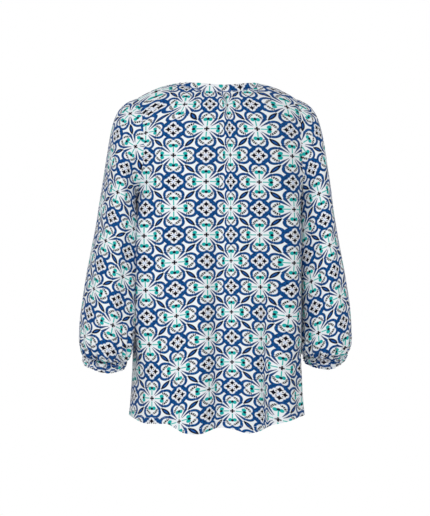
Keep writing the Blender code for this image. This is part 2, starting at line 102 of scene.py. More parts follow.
# The cloth itself.
CLOTH = 0.0006  # seen thickness of the viscose
HEM_TURN = 0.012  # turned up and stitched
HEM_CLOTH = 0.0017  # three layers
BAND_CLOTH = 0.0020
BAND_STITCH_LIFT = 0.4  # where the band's stitches lie, as a share of its thickness
CUFF_CLOTH = 0.0012
SEAM_DIP = 0.0006  # how far a seam draws the cloth in
HEM_EDGE = 0.003  # over which the hem's turn-up thins out, a little above its stitches
HEM_EDGE_ABOVE = 0.002

# How finely the cloth is divided.
SHOULDER_COLUMNS = 26
NECK_COLUMNS = 112
CROWDING = 0.55
NECK_ROW_POWER = {BACK: 2.2, FRONT: 1.6}
BODY_ROWS = 112
ARMHOLE_ROWS = 96
HEAD_ROWS = 64
ARM_ROWS = 108
CUFF_ROWS = 26
BAND_ROWS = 10


def table(fields, *rows):
    """Rows of numbers whose places have names."""
    return [namedtuple("Row", fields)(*row) for row in rows]


# Sections of the body from the hem up.
TORSO = table(
    "z half_width back front depth_power",
    (-0.703, 0.1820, 0.129, 0.136, 2.6),
    (-0.630, 0.1765, 0.127, 0.134, 2.7),
    (-0.577, 0.1735, 0.126, 0.132, 2.7),
    (-0.500, 0.1735, 0.124, 0.130, 2.8),
    (-0.400, 0.1733, 0.121, 0.128, 2.9),
    (-0.300, 0.1725, 0.119, 0.126, 3.0),
    (UNDERARM_Z, 0.1722, 0.118, 0.125, 3.0),
    (-0.206, 0.1795, 0.118, 0.125, 2.4),
    (-0.173, 0.1926, 0.117, 0.124, 1.8),
    (-0.134, 0.2076, 0.117, 0.122, 1.4),
    (-0.087, 0.2146, 0.117, 0.120, 1.3),
    (SHOULDER_Z, 0.2189, 0.117, 0.118, 1.3),
)

# Rings of a sleeve from the biceps down.
SLEEVE = table(
    "z centre half_width half_depth",
    (BICEPS_Z, 0.2113, 0.0351, 0.078),
    (-0.310, 0.2168, 0.0399, 0.079),
    (-0.360, 0.2218, 0.0442, 0.080),
    (-0.410, 0.2272, 0.0485, 0.082),
    (-0.460, 0.2317, 0.0518, 0.084),
    (-0.503, 0.2338, 0.0529, 0.084),
    (-0.528, 0.2340, 0.0525, 0.082),
    (-0.544, 0.2333, 0.0495, 0.074),
    (-0.554, 0.2335, 0.0460, 0.060),
    (CUFF_TOP_Z, CUFF_X, CUFF_HALF_WIDTH, CUFF_HALF_DEPTH),
)

# Where the front hem flutes outwards and hangs lower.
FLUTES = table(
    "place width drop",
    (-0.030, 0.032, 0.0050),
    (0.062, 0.030, 0.0050),
)

# The back's hem line, which flutes more sharply: across from the middle, and height.
BACK_HEM = np.array(
    [
        (-0.182, HEM_SIDE_Z),
        (-0.170, -0.6845),
        (-0.143, -0.6850),
        (-0.125, -0.6855),
        (-0.109, -0.6935),
        (-0.095, -0.7010),
        (-0.080, -0.7035),
        (-0.062, -0.7035),
        (-0.045, -0.6985),
        (-0.030, -0.6945),
        (-0.013, -0.6930),
        (0.010, -0.6970),
        (0.030, -0.7035),
        (0.050, -0.7030),
        (0.067, -0.6990),
        (0.092, -0.6920),
        (0.123, -0.6855),
        (0.150, -0.6810),
        (0.182, HEM_SIDE_Z),
    ]
)

HEM_END = -0.90  # an end below the hem: the crease runs out through it

# Creases of a panel: soft troughs (depth above 0) and ridges (below 0). Across and width are
# shares of the panel's half width; each grows in below top and dies out above end; drift is
# how far it wanders across on the way down.
CREASES = table(
    "side across width depth top top_reach end end_reach drift",
    (BACK, -0.10, 0.070, 0.0110, -0.12, 0.46, HEM_END, 0.10, 0.02),
    (BACK, 0.33, 0.075, 0.0130, -0.31, 0.34, HEM_END, 0.10, 0.02),
    (BACK, -0.27, 0.080, -0.0050, -0.26, 0.40, HEM_END, 0.10, 0.00),
    (BACK, 0.13, 0.075, -0.0050, -0.30, 0.40, HEM_END, 0.10, 0.00),
    (BACK, -0.50, 0.080, 0.0080, -0.36, 0.33, HEM_END, 0.10, 0.00),
    (BACK, 0.66, 0.080, 0.0060, -0.42, 0.27, HEM_END, 0.10, 0.00),
    (FRONT, -0.38, 0.090, 0.0090, -0.30, 0.39, HEM_END, 0.10, 0.00),
    (FRONT, 0.05, 0.090, 0.0080, -0.38, 0.31, HEM_END, 0.10, 0.00),
    (FRONT, 0.45, 0.085, 0.0100, -0.28, 0.41, HEM_END, 0.10, 0.00),
    (BACK, -0.095, 0.050, 0.0045, -0.06, 0.40, HEM_END, 0.10, 0.01),
    (BACK, -0.235, 0.050, -0.0045, -0.16, 0.40, HEM_END, 0.10, -0.01),
    (BACK, 0.93, 0.070, 0.0065, -0.20, 0.10, -0.68, 0.10, 0.00),
    (BACK, 0.010, 0.010, 0.0052, -0.005, 0.02, -0.075, 0.05, 0.00),
    (BACK, 0.020, 0.022, 0.0034, -0.012, 0.03, -0.24, 0.22, 0.03),
    (BACK, 0.062, 0.022, -0.0020, -0.015, 0.02, -0.20, 0.16, 0.03),
    (BACK, -0.045, 0.022, -0.0022, -0.015, 0.02, -0.26, 0.20, -0.01),
    (BACK, 0.12, 0.030, 0.0022, -0.08, 0.06, -0.30, 0.18, 0.03),
    (BACK, 0.235, 0.034, -0.0026, -0.46, 0.14, HEM_END, 0.10, -0.02),
    (BACK, 0.42, 0.030, 0.0020, -0.20, 0.10, -0.48, 0.16, 0.03),
    (BACK, -0.36, 0.040, 0.0022, -0.22, 0.14, -0.56, 0.16, 0.02),
    (BACK, -0.62, 0.036, 0.0018, -0.13, 0.08, -0.40, 0.14, -0.02),
    (BACK, -0.75, 0.130, -0.0120, -0.18, 0.12, -0.60, 0.12, 0.00),
    (BACK, 0.58, 0.110, -0.0050, -0.18, 0.12, -0.60, 0.12, 0.00),
    (FRONT, -0.16, 0.036, 0.0026, -0.13, 0.05, -0.52, 0.20, -0.02),
    (FRONT, 0.17, 0.030, 0.0024, -0.12, 0.05, -0.40, 0.18, 0.03),
    (FRONT, 0.29, 0.034, -0.0020, -0.34, 0.14, HEM_END, 0.10, 0.02),
    (FRONT, -0.60, 0.036, 0.0022, -0.20, 0.10, -0.50, 0.16, 0.02),
    (FRONT, 0.70, 0.040, 0.0022, -0.24, 0.10, -0.58, 0.16, -0.02),
    (FRONT, -0.82, 0.040, 0.0020, -0.26, 0.08, -0.56, 0.14, 0.02),
)

# Gathers under the neckband: place across the neckline (-1 to 1), half width as a share of
# it, depth, and how far down each one runs.
GATHERS = table(
    "side place width depth length",
    (BACK, -0.93, 0.030, 0.0014, 0.045),
    (BACK, -0.80, 0.036, 0.0017, 0.060),
    (BACK, -0.68, 0.028, 0.0014, 0.040),
    (BACK, -0.57, 0.036, 0.0022, 0.075),
    (BACK, -0.46, 0.030, 0.0020, 0.055),
    (BACK, -0.36, 0.030, 0.0026, 0.090),
    (BACK, -0.27, 0.026, 0.0020, 0.060),
    (BACK, -0.17, 0.028, 0.0018, 0.045),
    (BACK, -0.06, 0.024, 0.0014, 0.035),
    (BACK, 0.17, 0.028, 0.0020, 0.060),
    (BACK, 0.27, 0.026, 0.0016, 0.045),
    (BACK, 0.39, 0.034, 0.0018, 0.050),
    (BACK, 0.53, 0.030, 0.0015, 0.042),
    (BACK, 0.66, 0.036, 0.0018, 0.060),
    (BACK, 0.80, 0.030, 0.0014, 0.040),
    (BACK, 0.92, 0.030, 0.0013, 0.045),
    (FRONT, -0.72, 0.034, 0.0016, 0.050),
    (FRONT, -0.58, 0.030, 0.0018, 0.065),
    (FRONT, -0.46, 0.028, 0.0016, 0.045),
    (FRONT, -0.35, 0.030, 0.0022, 0.085),
    (FRONT, -0.24, 0.026, 0.0018, 0.055),
    (FRONT, -0.13, 0.028, 0.0020, 0.070),
    (FRONT, -0.02, 0.026, 0.0016, 0.045),
    (FRONT, 0.09, 0.028, 0.0021, 0.080),
    (FRONT, 0.20, 0.026, 0.0016, 0.050),
    (FRONT, 0.32, 0.030, 0.0022, 0.075),
    (FRONT, 0.44, 0.028, 0.0016, 0.045),
    (FRONT, 0.57, 0.032, 0.0018, 0.060),
    (FRONT, 0.72, 0.034, 0.0015, 0.050),
)
GATHER_EDGE = 0.20  # how much of its depth a gather keeps at the neckband's seam
GATHER_EDGE_REACH = 0.006
GATHER_FADE = 1.5  # power by which it fades downwards
NECK_WINDOW = 1.04  # gathers stop this far across the neckline
NECK_WINDOW_EDGE = 0.12

# Creases of a sleeve. Turn is the angle round it in degrees: 0 outside, 90 front, -90 back,
# 180 towards the body. Twist is how far the crease turns on its way down.
PUCKERS = table(
    "hand turn width depth top top_reach end end_reach twist",
    (RIGHT, -142, 26, -0.0095, -0.18, 0.10, -0.562, 0.03, 0),
    (RIGHT, -98, 10, 0.0050, -0.19, 0.08, -0.40, 0.14, 8),
    (RIGHT, -66, 9, 0.0024, -0.28, 0.10, -0.50, 0.12, -6),
    (RIGHT, -116, 10, 0.0034, -0.26, 0.08, -0.56, 0.12, 4),
    (RIGHT, 88, 10, 0.0040, -0.22, 0.10, -0.46, 0.14, -6),
    (RIGHT, 60, 9, 0.0024, -0.33, 0.10, -0.54, 0.10, 8),
    (RIGHT, 34, 11, 0.0052, -0.20, 0.12, -0.47, 0.14, -14),
    (RIGHT, 12, 12, 0.0046, -0.34, 0.12, -0.60, 0.10, 12),
    (RIGHT, -25, 9, 0.0018, -0.36, 0.10, -0.58, 0.10, -4),
    (LEFT, -138, 26, -0.0105, -0.20, 0.10, -0.56, 0.06, 0),
    (LEFT, -104, 10, 0.0034, -0.17, 0.08, -0.32, 0.12, 8),
    (LEFT, -76, 9, 0.0022, -0.30, 0.10, -0.50, 0.12, -8),
    (LEFT, -114, 14, 0.0058, -0.26, 0.12, -0.57, 0.08, 5),
    (LEFT, 84, 10, 0.0038, -0.24, 0.10, -0.44, 0.14, 6),
    (LEFT, 55, 9, 0.0022, -0.35, 0.10, -0.55, 0.10, -8),
    (LEFT, 46, 11, 0.0050, -0.18, 0.12, -0.43, 0.14, -16),
    (LEFT, 16, 12, 0.0044, -0.36, 0.12, -0.60, 0.10, 10),
    (LEFT, -38, 9, 0.0020, -0.42, 0.08, -0.60, 0.08, 6),
)
SLEEVE_GATHERS = 27  # round the cuff
SLEEVE_GATHER_DEPTH = 0.0062
CUFF_RUCHES = 29
CUFF_RUCHE_DEPTH = 0.0038
CUFF_TAPER = 0.005  # how much the elastic draws its lower edge in
CUFF_SIDE_LIFT = 0.004  # the lower edge of a cuff runs higher at its sides
CUFF_BACK_DROP = 0.005  # and lower at its back
OUTSIDE_LIFT_START = 0.006  # inside the cuff's middle
OUTSIDE_LIFT = {RIGHT: 0.0085, LEFT: 0.0045}  # how far the outer end of a cuff is drawn up
ELASTIC_LINES = (0.26, 0.52, 0.78)  # rows of stitching over the elastic, as shares of its height


def column(rows, name):
    """One named column of a table, as an array."""
    return np.array([getattr(row, name) for row in rows], float)


def through(knots, values, at):
    """A smooth curve through a table's points: cubics whose slopes come from the neighbours."""
    slopes = np.gradient(values, knots)
    at = np.clip(at, knots[0], knots[-1])
    i = np.clip(np.searchsorted(knots, at) - 1, 0, len(knots) - 2)
    step = knots[i + 1] - knots[i]
    t = (at - knots[i]) / step
    start = values[i] * (1 + 2 * t) * (1 - t) ** 2 + slopes[i] * step * t * (1 - t) ** 2
    end = values[i + 1] * t * t * (3 - 2 * t) - slopes[i + 1] * step * t * t * (1 - t)
    return start + end


def ease(t):
    """Rises smoothly from 0 to 1: three t squared less two t cubed."""
    t = np.clip(t, 0.0, 1.0)
    return t * t * (3 - 2 * t)


def signed_power(value, power):
    return np.sign(value) * np.abs(value) ** power


def bell(distance, width):
    """A soft hump: 1 at no distance, falling as e to the power of minus its square."""
    return np.exp(-((distance / width) ** 2))


def run_lengths(lines):
    """How far each point of a line lies from its start, along it."""
    steps = np.linalg.norm(np.diff(lines, axis=0), axis=-1)
    return np.concatenate([0 * steps[:1], np.cumsum(steps, axis=0)])


def tangents(loop):
    """Directions along a closed line."""
    return unit(np.roll(loop, -1, axis=0) - np.roll(loop, 1, axis=0))


def lifted(points, rise):
    """Points moved straight up, each by its own rise."""
    return points + rise[..., None] * UP


def fold_strength(fold, z):
    """How strong a fold is at a height: it grows in below its top and dies out above its end."""
    return ease((fold.top - z) / fold.top_reach) * ease((z - fold.end) / fold.end_reach)


def way_down(fold, z, bottom):
    """The share of its way down that a fold has come at a height."""
    return np.clip((fold.top - z) / (fold.top - bottom), 0, 1)


def unit(vectors):
    return vectors / np.maximum(np.linalg.norm(vectors, axis=-1, keepdims=True), 1e-12)


def even_angles(half_width, half_depth, power):
    """Angles from the side (0) to the middle (a right angle), evenly spaced along the arc."""
    angle = np.linspace(0, math.pi / 2, 2001)
    x = half_width * np.cos(angle) ** (2 / power)
    y = half_depth * np.sin(angle) ** (2 / power)
    length = np.concatenate([[0], np.cumsum(np.hypot(np.diff(x), np.diff(y)))])
    return length / length[-1], angle


TORSO_ARC = even_angles(0.175, 0.120, WIDTH_POWER)
SLEEVE_ARC = even_angles(0.045, 0.080, 2.0)


def torso_angle(across):
    """The section angle of a place given as a share of the half width, -1 to 1."""
    share, angle = TORSO_ARC
    near = np.interp(1 - np.abs(across), share, angle)
    return np.where(across >= 0, near, math.pi - near)


def torso_across(angle):
    """The reverse of torso_angle, for angles up to a right angle."""
    share, angles = TORSO_ARC
    return 1 - np.interp(angle, angles, share)


def ridge_height(x):
    """Height of the shoulder seam, with a parabola across the neck that it would run into."""
    along = np.abs(x) - NECK_HALF_WIDTH
    outside = NECK_POINT_Z - SHOULDER_SLOPE * along - SHOULDER_BEND * along**2
    peak = NECK_POINT_Z + SHOULDER_SLOPE * NECK_HALF_WIDTH / 2
    inside = peak - (peak - NECK_POINT_Z) * (x / NECK_HALF_WIDTH) ** 2
    return np.where(np.abs(x) > NECK_HALF_WIDTH, outside, inside)


def ridge_y(x):
    """How far the shoulder seam lies towards +Y: behind the side seams, most at the neck."""
    share = (SHOULDER_HALF_WIDTH - np.abs(x)) / SHOULDER_LENGTH
    return -SHOULDER_SET_BACK - (NECK_SET_BACK - SHOULDER_SET_BACK) * np.clip(share, 0, 1)


def rise_parts(rise):
    """Splits rise (0 hem, 1 underarm, 2 shoulder seam) into the share of the body, the angle
    on the arc over the shoulder and the share of its height."""
    body = np.clip(rise, 0, 1)
    over = np.clip(rise - 1, 0, 1) * math.pi / 2
    return body, over, np.sin(over) ** (2 / HEIGHT_POWER)


def hem_height(side, angle):
    """Height of the hem: lowest in the middle of a panel and where it flutes outwards."""
    x = TORSO[0].half_width * signed_power(np.cos(angle), 2 / WIDTH_POWER)
    if side == BACK:
        return through(BACK_HEM[:, 0], BACK_HEM[:, 1], x)
    height = HEM_SIDE_Z + (HEM_CENTRE_Z - HEM_SIDE_Z) * np.sin(angle) ** 2
    for flute in FLUTES:
        height = height - flute.drop * bell(x - flute.place, flute.width)
    return height


def torso(side, angle, rise):
    """The filled-out form that the panels follow.

    Below the underarm it is a stack of superellipse sections; above, each section point
    climbs a superelliptic arc that ends level at the shoulder seam.
    """
    body, over, height = rise_parts(rise)
    hem = hem_height(side, angle)
    below = hem + body * (UNDERARM_Z - hem)
    nominal = np.where(rise < 1, below, UNDERARM_Z + height * (SHOULDER_Z - UNDERARM_Z))
    knots = column(TORSO, "z")
    half_width = through(knots, column(TORSO, "half_width"), nominal)
    depth = through(knots, column(TORSO, "back" if side == BACK else "front"), nominal)
    depth_power = through(knots, column(TORSO, "depth_power"), nominal)
    x = half_width * signed_power(np.cos(angle), 2 / WIDTH_POWER)
    reach = depth * signed_power(np.sin(angle), 2 / depth_power) * np.cos(over) ** (2 / OVER_POWER)
    y = side * reach + ridge_y(x) * height**2
    tilt = SEAM_TILT * SEAM_TILT_REACH * np.tanh(side * reach / SEAM_TILT_REACH) * height**8
    z = np.where(rise < 1, below, UNDERARM_Z + height * (ridge_height(x) - UNDERARM_Z) + tilt)
    return np.stack([x, y, z], axis=-1)


def torso_normal(side, angle, rise):
    """Outward unit normal of the form, from small steps along both of its parameters."""
    step = 1e-4
    round_it = torso(side, angle + step, rise) - torso(side, angle - step, rise)
    up = torso(side, angle, rise + step) - torso(side, angle, rise - step)
    normal = unit(np.cross(round_it, up))
    from_middle = torso(side, angle, rise) - MIDDLE_Z * UP
    return normal * np.sign((normal * from_middle).sum(axis=-1, keepdims=True))


def armhole_angle(side, rise):
    """The section angle at which a panel ends at the armhole."""
    _, _, height = rise_parts(rise)
    top = TORSO[-1]
    at_seam = (1 - (SHOULDER_HALF_WIDTH / top.half_width) ** WIDTH_POWER) ** (1 / top.depth_power)
    scoop = 1 + (FRONT_SCOOP if side == FRONT else 0) * np.sin(math.pi * height)
    share = at_seam * scoop * np.sqrt(1 - (1 - height) ** ARMHOLE_POWER)
    nominal = UNDERARM_Z + height * (SHOULDER_Z - UNDERARM_Z)
    depth_power = through(column(TORSO, "z"), column(TORSO, "depth_power"), nominal)
    return np.arcsin(share ** (depth_power / 2))


def armhole_rises(side, rows):
    """Rises that divide one half of the armhole into even lengths, underarm to shoulder."""
    dense = np.linspace(1, 2, 1600)
    line = torso(side, armhole_angle(side, dense), dense)
    length = run_lengths(line)
    return np.interp(np.linspace(0, length[-1], rows + 1), length, dense)


def neck_share():
    """The share of the panel's top edge, from its middle, that belongs to the neck."""
    angle = math.acos((NECK_HALF_WIDTH / TORSO[-1].half_width) ** (WIDTH_POWER / 2))
    return float(torso_across(angle) / torso_across(armhole_angle(BACK, np.array(2.0))))


def panel_angle(side, across, rise):
    """The section angle of a place across a panel, where the armhole bounds it."""
    return torso_angle(across * torso_across(armhole_angle(side, rise)))


def neck_rise(side, across):
    """The rise at which each column of a panel meets the neckline or the shoulder seam."""
    rise = np.linspace(1, 2, 1500)[:, None]
    angle = panel_angle(side, across, rise)
    x, y, _ = np.moveaxis(torso(side, angle, rise), -1, 0)
    reach = (BACK_NECK_Y if side == BACK else FRONT_NECK_Y) + NECK_SET_BACK
    power = NECK_POWER[side]
    deep = np.maximum((y + NECK_SET_BACK) / reach, 0)
    outside = np.abs(x / NECK_HALF_WIDTH) ** power + deep**power - 1
    first = np.argmax(outside < 0, axis=0)
    columns = np.arange(len(across))
    before, after = outside[first - 1, columns], outside[first, columns]
    found = rise[first - 1, 0] + before / (before - after) * (rise[1, 0] - rise[0, 0])
    return np.where((np.abs(across) < neck_share() - 1e-6) & (first > 0), found, 2.0)


def leant(points):
    """The whole garment's slight lean: shoulders up on the right, down on the left."""
    share = ease((points[..., 2] - LEAN_FROM_Z) / (LEAN_FULL_Z - LEAN_FROM_Z))
    return lifted(points, SHOULDER_LEAN * points[..., 0] * share)


def cuff_tilted(points, hand):
    """Tilts the lower end of a sleeve, and its cuff, up towards the front and the outside."""
    share = ease((TILT_FROM_Z - points[..., 2]) / (TILT_FROM_Z - CUFF_TOP_Z))
    outside = ease((points[..., 0] - CUFF_X + OUTSIDE_LIFT_START) / CUFF_HALF_WIDTH)
    return lifted(points, (CUFF_TILT * points[..., 1] + OUTSIDE_LIFT[hand] * outside) * share)


def sleeve_angle(turn):
    """Angle on the sleeve's ring for a turn, evenly spaced along the ring."""
    share, angles = SLEEVE_ARC
    place = np.abs(turn) / (math.pi / 2)
    rest = math.pi - np.interp(2 - place, share, angles)
    return np.sign(turn) * np.where(place <= 1, np.interp(place, share, angles), rest)


def sleeve_ring(z, turn):
    """Points of the sleeve's elliptic rings at given heights.

    Turn 0 is outside and turns above 0 are in front.
    """
    knots = -column(SLEEVE, "z")
    centre, half_width, half_depth = (
        through(knots, column(SLEEVE, name), -z) for name in ("centre", "half_width", "half_depth")
    )
    angle = sleeve_angle(turn)
    x = centre + half_width * np.cos(angle)
    return np.stack([x, half_depth * np.sin(angle), z + 0 * x], axis=-1)


class Armhole:
    """The right armhole: its points from the underarm over the front to the shoulder and back."""

    def __init__(self, rows):
        front = self.half(FRONT, armhole_rises(FRONT, rows))
        back = self.half(BACK, armhole_rises(BACK, rows))
        self.rows = rows
        self.points = np.concatenate([front[0], back[0][-2:0:-1]])
        normals = np.concatenate([front[1], back[1][-2:0:-1]])
        normals[0] = unit(front[1][0] + back[1][0])
        normals[rows] = unit(front[1][-1] + back[1][-1])
        count = len(self.points)
        tangent = tangents(self.points)
        across = unit(np.cross(normals, tangent))
        self.turn = math.pi - 2 * math.pi * np.arange(count) / count
        self.outer = ((1 + np.cos(self.turn)) / 2)[:, None]  # 1 outside, 0 at the underarm
        self.end = sleeve_ring(np.full(count, BICEPS_Z), self.turn)
        self.start = self.leaving(across)
        own = unit(np.cross(tangent, self.start))
        self.normals = unit(normals + own)

    @staticmethod
    def half(side, rise):
        angle = armhole_angle(side, rise)
        return torso(side, angle, rise), torso_normal(side, angle, rise)

    def leaving(self, across):
        """Direction in which the sleeve leaves the armhole."""
        down = unit(self.end - self.points)
        angle = sleeve_angle(self.turn)
        outward = np.stack([np.cos(angle), np.sin(angle), np.zeros_like(angle)], axis=-1)
        pull = SIDE_PULL * np.sin(self.turn)[:, None] ** 2
        return unit(across + pull * down + HEAD_SPREAD * self.outer * outward)

    def order(self, side):
        """Indices of one panel's share of the loop, underarm to shoulder."""
        forward = np.arange(self.rows + 1)
        return forward if side == FRONT else -forward % len(self.points)

    def head(self, t):
        """The sleeve between armhole (t 0) and biceps ring (t 1): one cubic for each column."""
        second = self.points + (LEAD_UNDERARM + LEAD_OUTSIDE * self.outer**LEAD_POWER) * self.start
        still = 0 * self.outer
        leaning = np.concatenate([-HEAD_LEAN_IN * self.outer, still, 1 + still], axis=1)
        third = self.end + (RISE_UNDERARM + RISE_OUTSIDE * self.outer**RISE_POWER) * unit(leaning)
        return (
            self.points * (1 - t) ** 3
            + 3 * second * t * (1 - t) ** 2
            + 3 * third * t * t * (1 - t)
            + self.end * t**3
        )


def grid_normals(rows, closed):
    """Outward normals of a grid from its neighbours along and across."""
    if closed:
        along = np.roll(rows, -1, axis=1) - np.roll(rows, 1, axis=1)
    else:
        along = np.gradient(rows, axis=1)
    return unit(np.cross(along, np.gradient(rows, axis=0)))


def smoothed(grid, reach, axis, closed):
    """A grid averaged along one axis with a triangle as wide as reach on each side."""
    weights = (reach + 1 - np.abs(np.arange(-reach, reach + 1))).astype(float)
    weights /= weights.sum()
    moved = np.moveaxis(grid, axis, 0)
    before = moved[-reach:] if closed else np.repeat(moved[:1], reach, axis=0)
    after = moved[:reach] if closed else np.repeat(moved[-1:], reach, axis=0)
    padded = np.concatenate([before, moved, after])
    made = sum(w * padded[k : k + len(moved)] for k, w in enumerate(weights))
    return np.moveaxis(made, 0, axis)


# Height, counts across and down, and start of each wave.
SWELLS = (
    (1.0, 1.00, 0.37, 0.6),
    (0.8, 0.61, -0.53, 2.1),
    (0.6, 1.73, 0.21, 4.4),
    (0.5, 0.29, 0.94, 1.3),
)
SWELLS_TOTAL = 2.9


def waver(x, y, size):
    """Slow uneven swells between -1 and 1: a few crossing sine waves of unlike lengths."""
    a, b = x * 2 * math.pi / size, y * 2 * math.pi / size
    return sum(high * np.sin(p * a + q * b + start) for high, p, q, start in SWELLS) / SWELLS_TOTAL


# ------------------------------------------------------------------ print on the cloth
CELL_WIDTH = 0.0653  # from a flower to the medallion beside it
CELL_HEIGHT = 0.0530


def between(grid, axis):
    """Values halfway between neighbours along one axis."""
    moved = np.moveaxis(grid, axis, 0)
    return np.moveaxis((moved[1:] + moved[:-1]) / 2, 0, axis)


def spread(across_steps, down_steps):
    """Heights of a grid whose differences come closest to given steps in the least squares sense.

    The grid is mirrored so that it repeats, and its Laplace equation is solved wave by wave.
    """
    rows, cols = across_steps.shape[0], down_steps.shape[1]
    right = np.zeros((rows, cols))
    right[:, 1:] += across_steps
    right[:, :-1] -= across_steps
    right[1:] += down_steps
    right[:-1] -= down_steps
    whole = np.concatenate([right, right[::-1]])
    whole = np.concatenate([whole, whole[:, ::-1]], axis=1)
    stiff = (2 - 2 * np.cos(math.pi * np.arange(2 * rows) / rows))[:, None]
    stiff = stiff + (2 - 2 * np.cos(math.pi * np.arange(2 * cols) / cols))
    stiff[0, 0] = 1
    return np.fft.ifft2(np.fft.fft2(whole) / stiff).real[:rows, :cols]


def print_map(points, level, grain):
    """Distances over the cloth along its level (u) and grain (v) directions, in metres."""
    across, down = np.diff(points, axis=1), np.diff(points, axis=0)
    places = []
    for way in (level, grain):
        over = (across * unit(between(way, 1))).sum(-1)
        along = (down * unit(between(way, 0))).sum(-1)
        places.append(spread(over, along))
    return places


# ------------------------------------------------------------------ meshes
SHARP_FROM = math.radians(50)  # edges that turn more than this stay crisp


def grid_faces(rows, steps, width):
    """Four-sided faces of a grid whose rows hold width points, wrapping round where they end."""
    r, c = np.meshgrid(np.arange(rows - 1), np.arange(steps), indexing="ij")
    n = (c + 1) % width
    corners = (r * width + c, r * width + n, (r + 1) * width + n, (r + 1) * width + c)
    return np.stack(corners, axis=-1).reshape(-1, 4)


def cloth_piece(name, points, normals, thickness, uv, closed, materials):
    """One closed shell of cloth round a grid of middle points.

    Outer and inner wall are the grid moved half the thickness along its normals; rims of
    one face's width close the open edges. uv holds one place more per row than a closed
    grid has points, so the print meets itself at the seam.
    """
    rows, cols = points.shape[:2]
    half = np.broadcast_to(np.asarray(thickness, float) / 2, (rows, cols))[..., None]
    walls = (points + normals * half, points - normals * half)
    verts = np.concatenate([wall.reshape(-1, 3) for wall in walls])
    total = rows * cols
    steps = cols if closed else cols - 1
    wide = uv.shape[1]
    outer, outer_uv = grid_faces(rows, steps, cols), grid_faces(rows, steps, wide)
    faces = [outer, outer[:, ::-1] + total]
    places = [outer_uv, outer_uv[:, ::-1]]
    slots = [np.zeros(len(outer), int), np.ones(len(outer), int)]
    c, r = np.arange(steps), np.arange(rows - 1)
    n, top, wide_top = (c + 1) % cols, (rows - 1) * cols, (rows - 1) * wide
    edges = [(c, n, c, c + 1, True), (top + c, top + n, wide_top + c, wide_top + c + 1, False)]
    if not closed:
        for k, forward in ((0, False), (cols - 1, True)):
            a, ua = r * cols + k, r * wide + k
            edges.append((a, a + cols, ua, ua + wide, forward))
    for a, b, ua, ub, forward in edges:
        way = 1 if forward else -1
        faces.append(np.stack([a, a + total, b + total, b], axis=-1)[:, ::way])
        places.append(np.stack([ua, ua, ub, ub], axis=-1)[:, ::way])
        slots.append(np.zeros(len(a), int))
    faces, places, slots = (np.concatenate(parts) for parts in (faces, places, slots))
    piece = mesh_piece(name, leant(verts), faces, slots, materials)
    layer = piece.data.uv_layers.new(name="cloth")
    layer.data.foreach_set("uv", uv.reshape(-1, 2)[places.ravel()].astype(np.float32).ravel())
    piece.data.set_sharp_from_angle(angle=SHARP_FROM)
    return piece


def mesh_piece(name, verts, faces, slots, materials):
    """A mesh object of four-sided faces, made from whole arrays."""
    mesh = bpy.data.meshes.new(name)
    mesh.vertices.add(len(verts))
    mesh.vertices.foreach_set("co", verts.astype(np.float32).ravel())
    mesh.loops.add(faces.size)
    mesh.loops.foreach_set("vertex_index", faces.astype(np.int32).ravel())
    mesh.polygons.add(len(faces))
    mesh.polygons.foreach_set("loop_start", np.arange(0, faces.size, 4, dtype=np.int32))
    mesh.polygons.foreach_set("material_index", np.asarray(slots, np.int32))
    mesh.update(calc_edges=True)
    mesh.shade_smooth()
    for material in materials:
        mesh.materials.append(material)
    piece = bpy.data.objects.new(name, mesh)
    bpy.context.scene.collection.objects.link(piece)
    return piece


# ------------------------------------------------------------------ panels
def panel_columns(side):
    """Shares across a panel, even over the shoulders and closer towards the neck points."""
    neck = neck_share()
    shoulder = np.linspace(neck, 1, SHOULDER_COLUMNS + 1)
    even = np.linspace(-1, 1, NECK_COLUMNS + 1)
    middle = neck * ((1 - CROWDING) * even + CROWDING * np.sin(even * math.pi / 2))
    across = np.concatenate([-shoulder[:0:-1], middle, shoulder[1:]])
    return across if side == BACK else across[::-1]


def crease_offset(side, across, z):
    """How far creases push a panel in (negative): troughs with a bell-shaped section."""
    offset = np.zeros(np.broadcast(across, z).shape)
    for crease in CREASES:
        if crease.side == side:
            middle = crease.across + crease.drift * way_down(crease, z, HEM_CENTRE_Z)
            offset -= crease.depth * bell(across - middle, crease.width) * fold_strength(crease, z)
    return offset


def gather_offset(side, place, below):
    """Gathers under the neckband: narrow troughs that fade with the distance below it."""
    offset = np.zeros(np.broadcast(place, below).shape)
    for gather in GATHERS:
        if gather.side == side:
            fade = ease(1 - below / gather.length) ** GATHER_FADE
            offset -= gather.depth * bell(place - gather.place, gather.width) * fade
    return offset * (GATHER_EDGE + (1 - GATHER_EDGE) * ease(below / GATHER_EDGE_REACH))


SWELL = 0.0007  # height of the panels' slow swells, and their size
SWELL_SIZE = 0.085
CALM_TOP = 0.03  # swells and creases die out this far below the shoulder seam
CALM_SIDES = 0.05  # and this share from the side seams


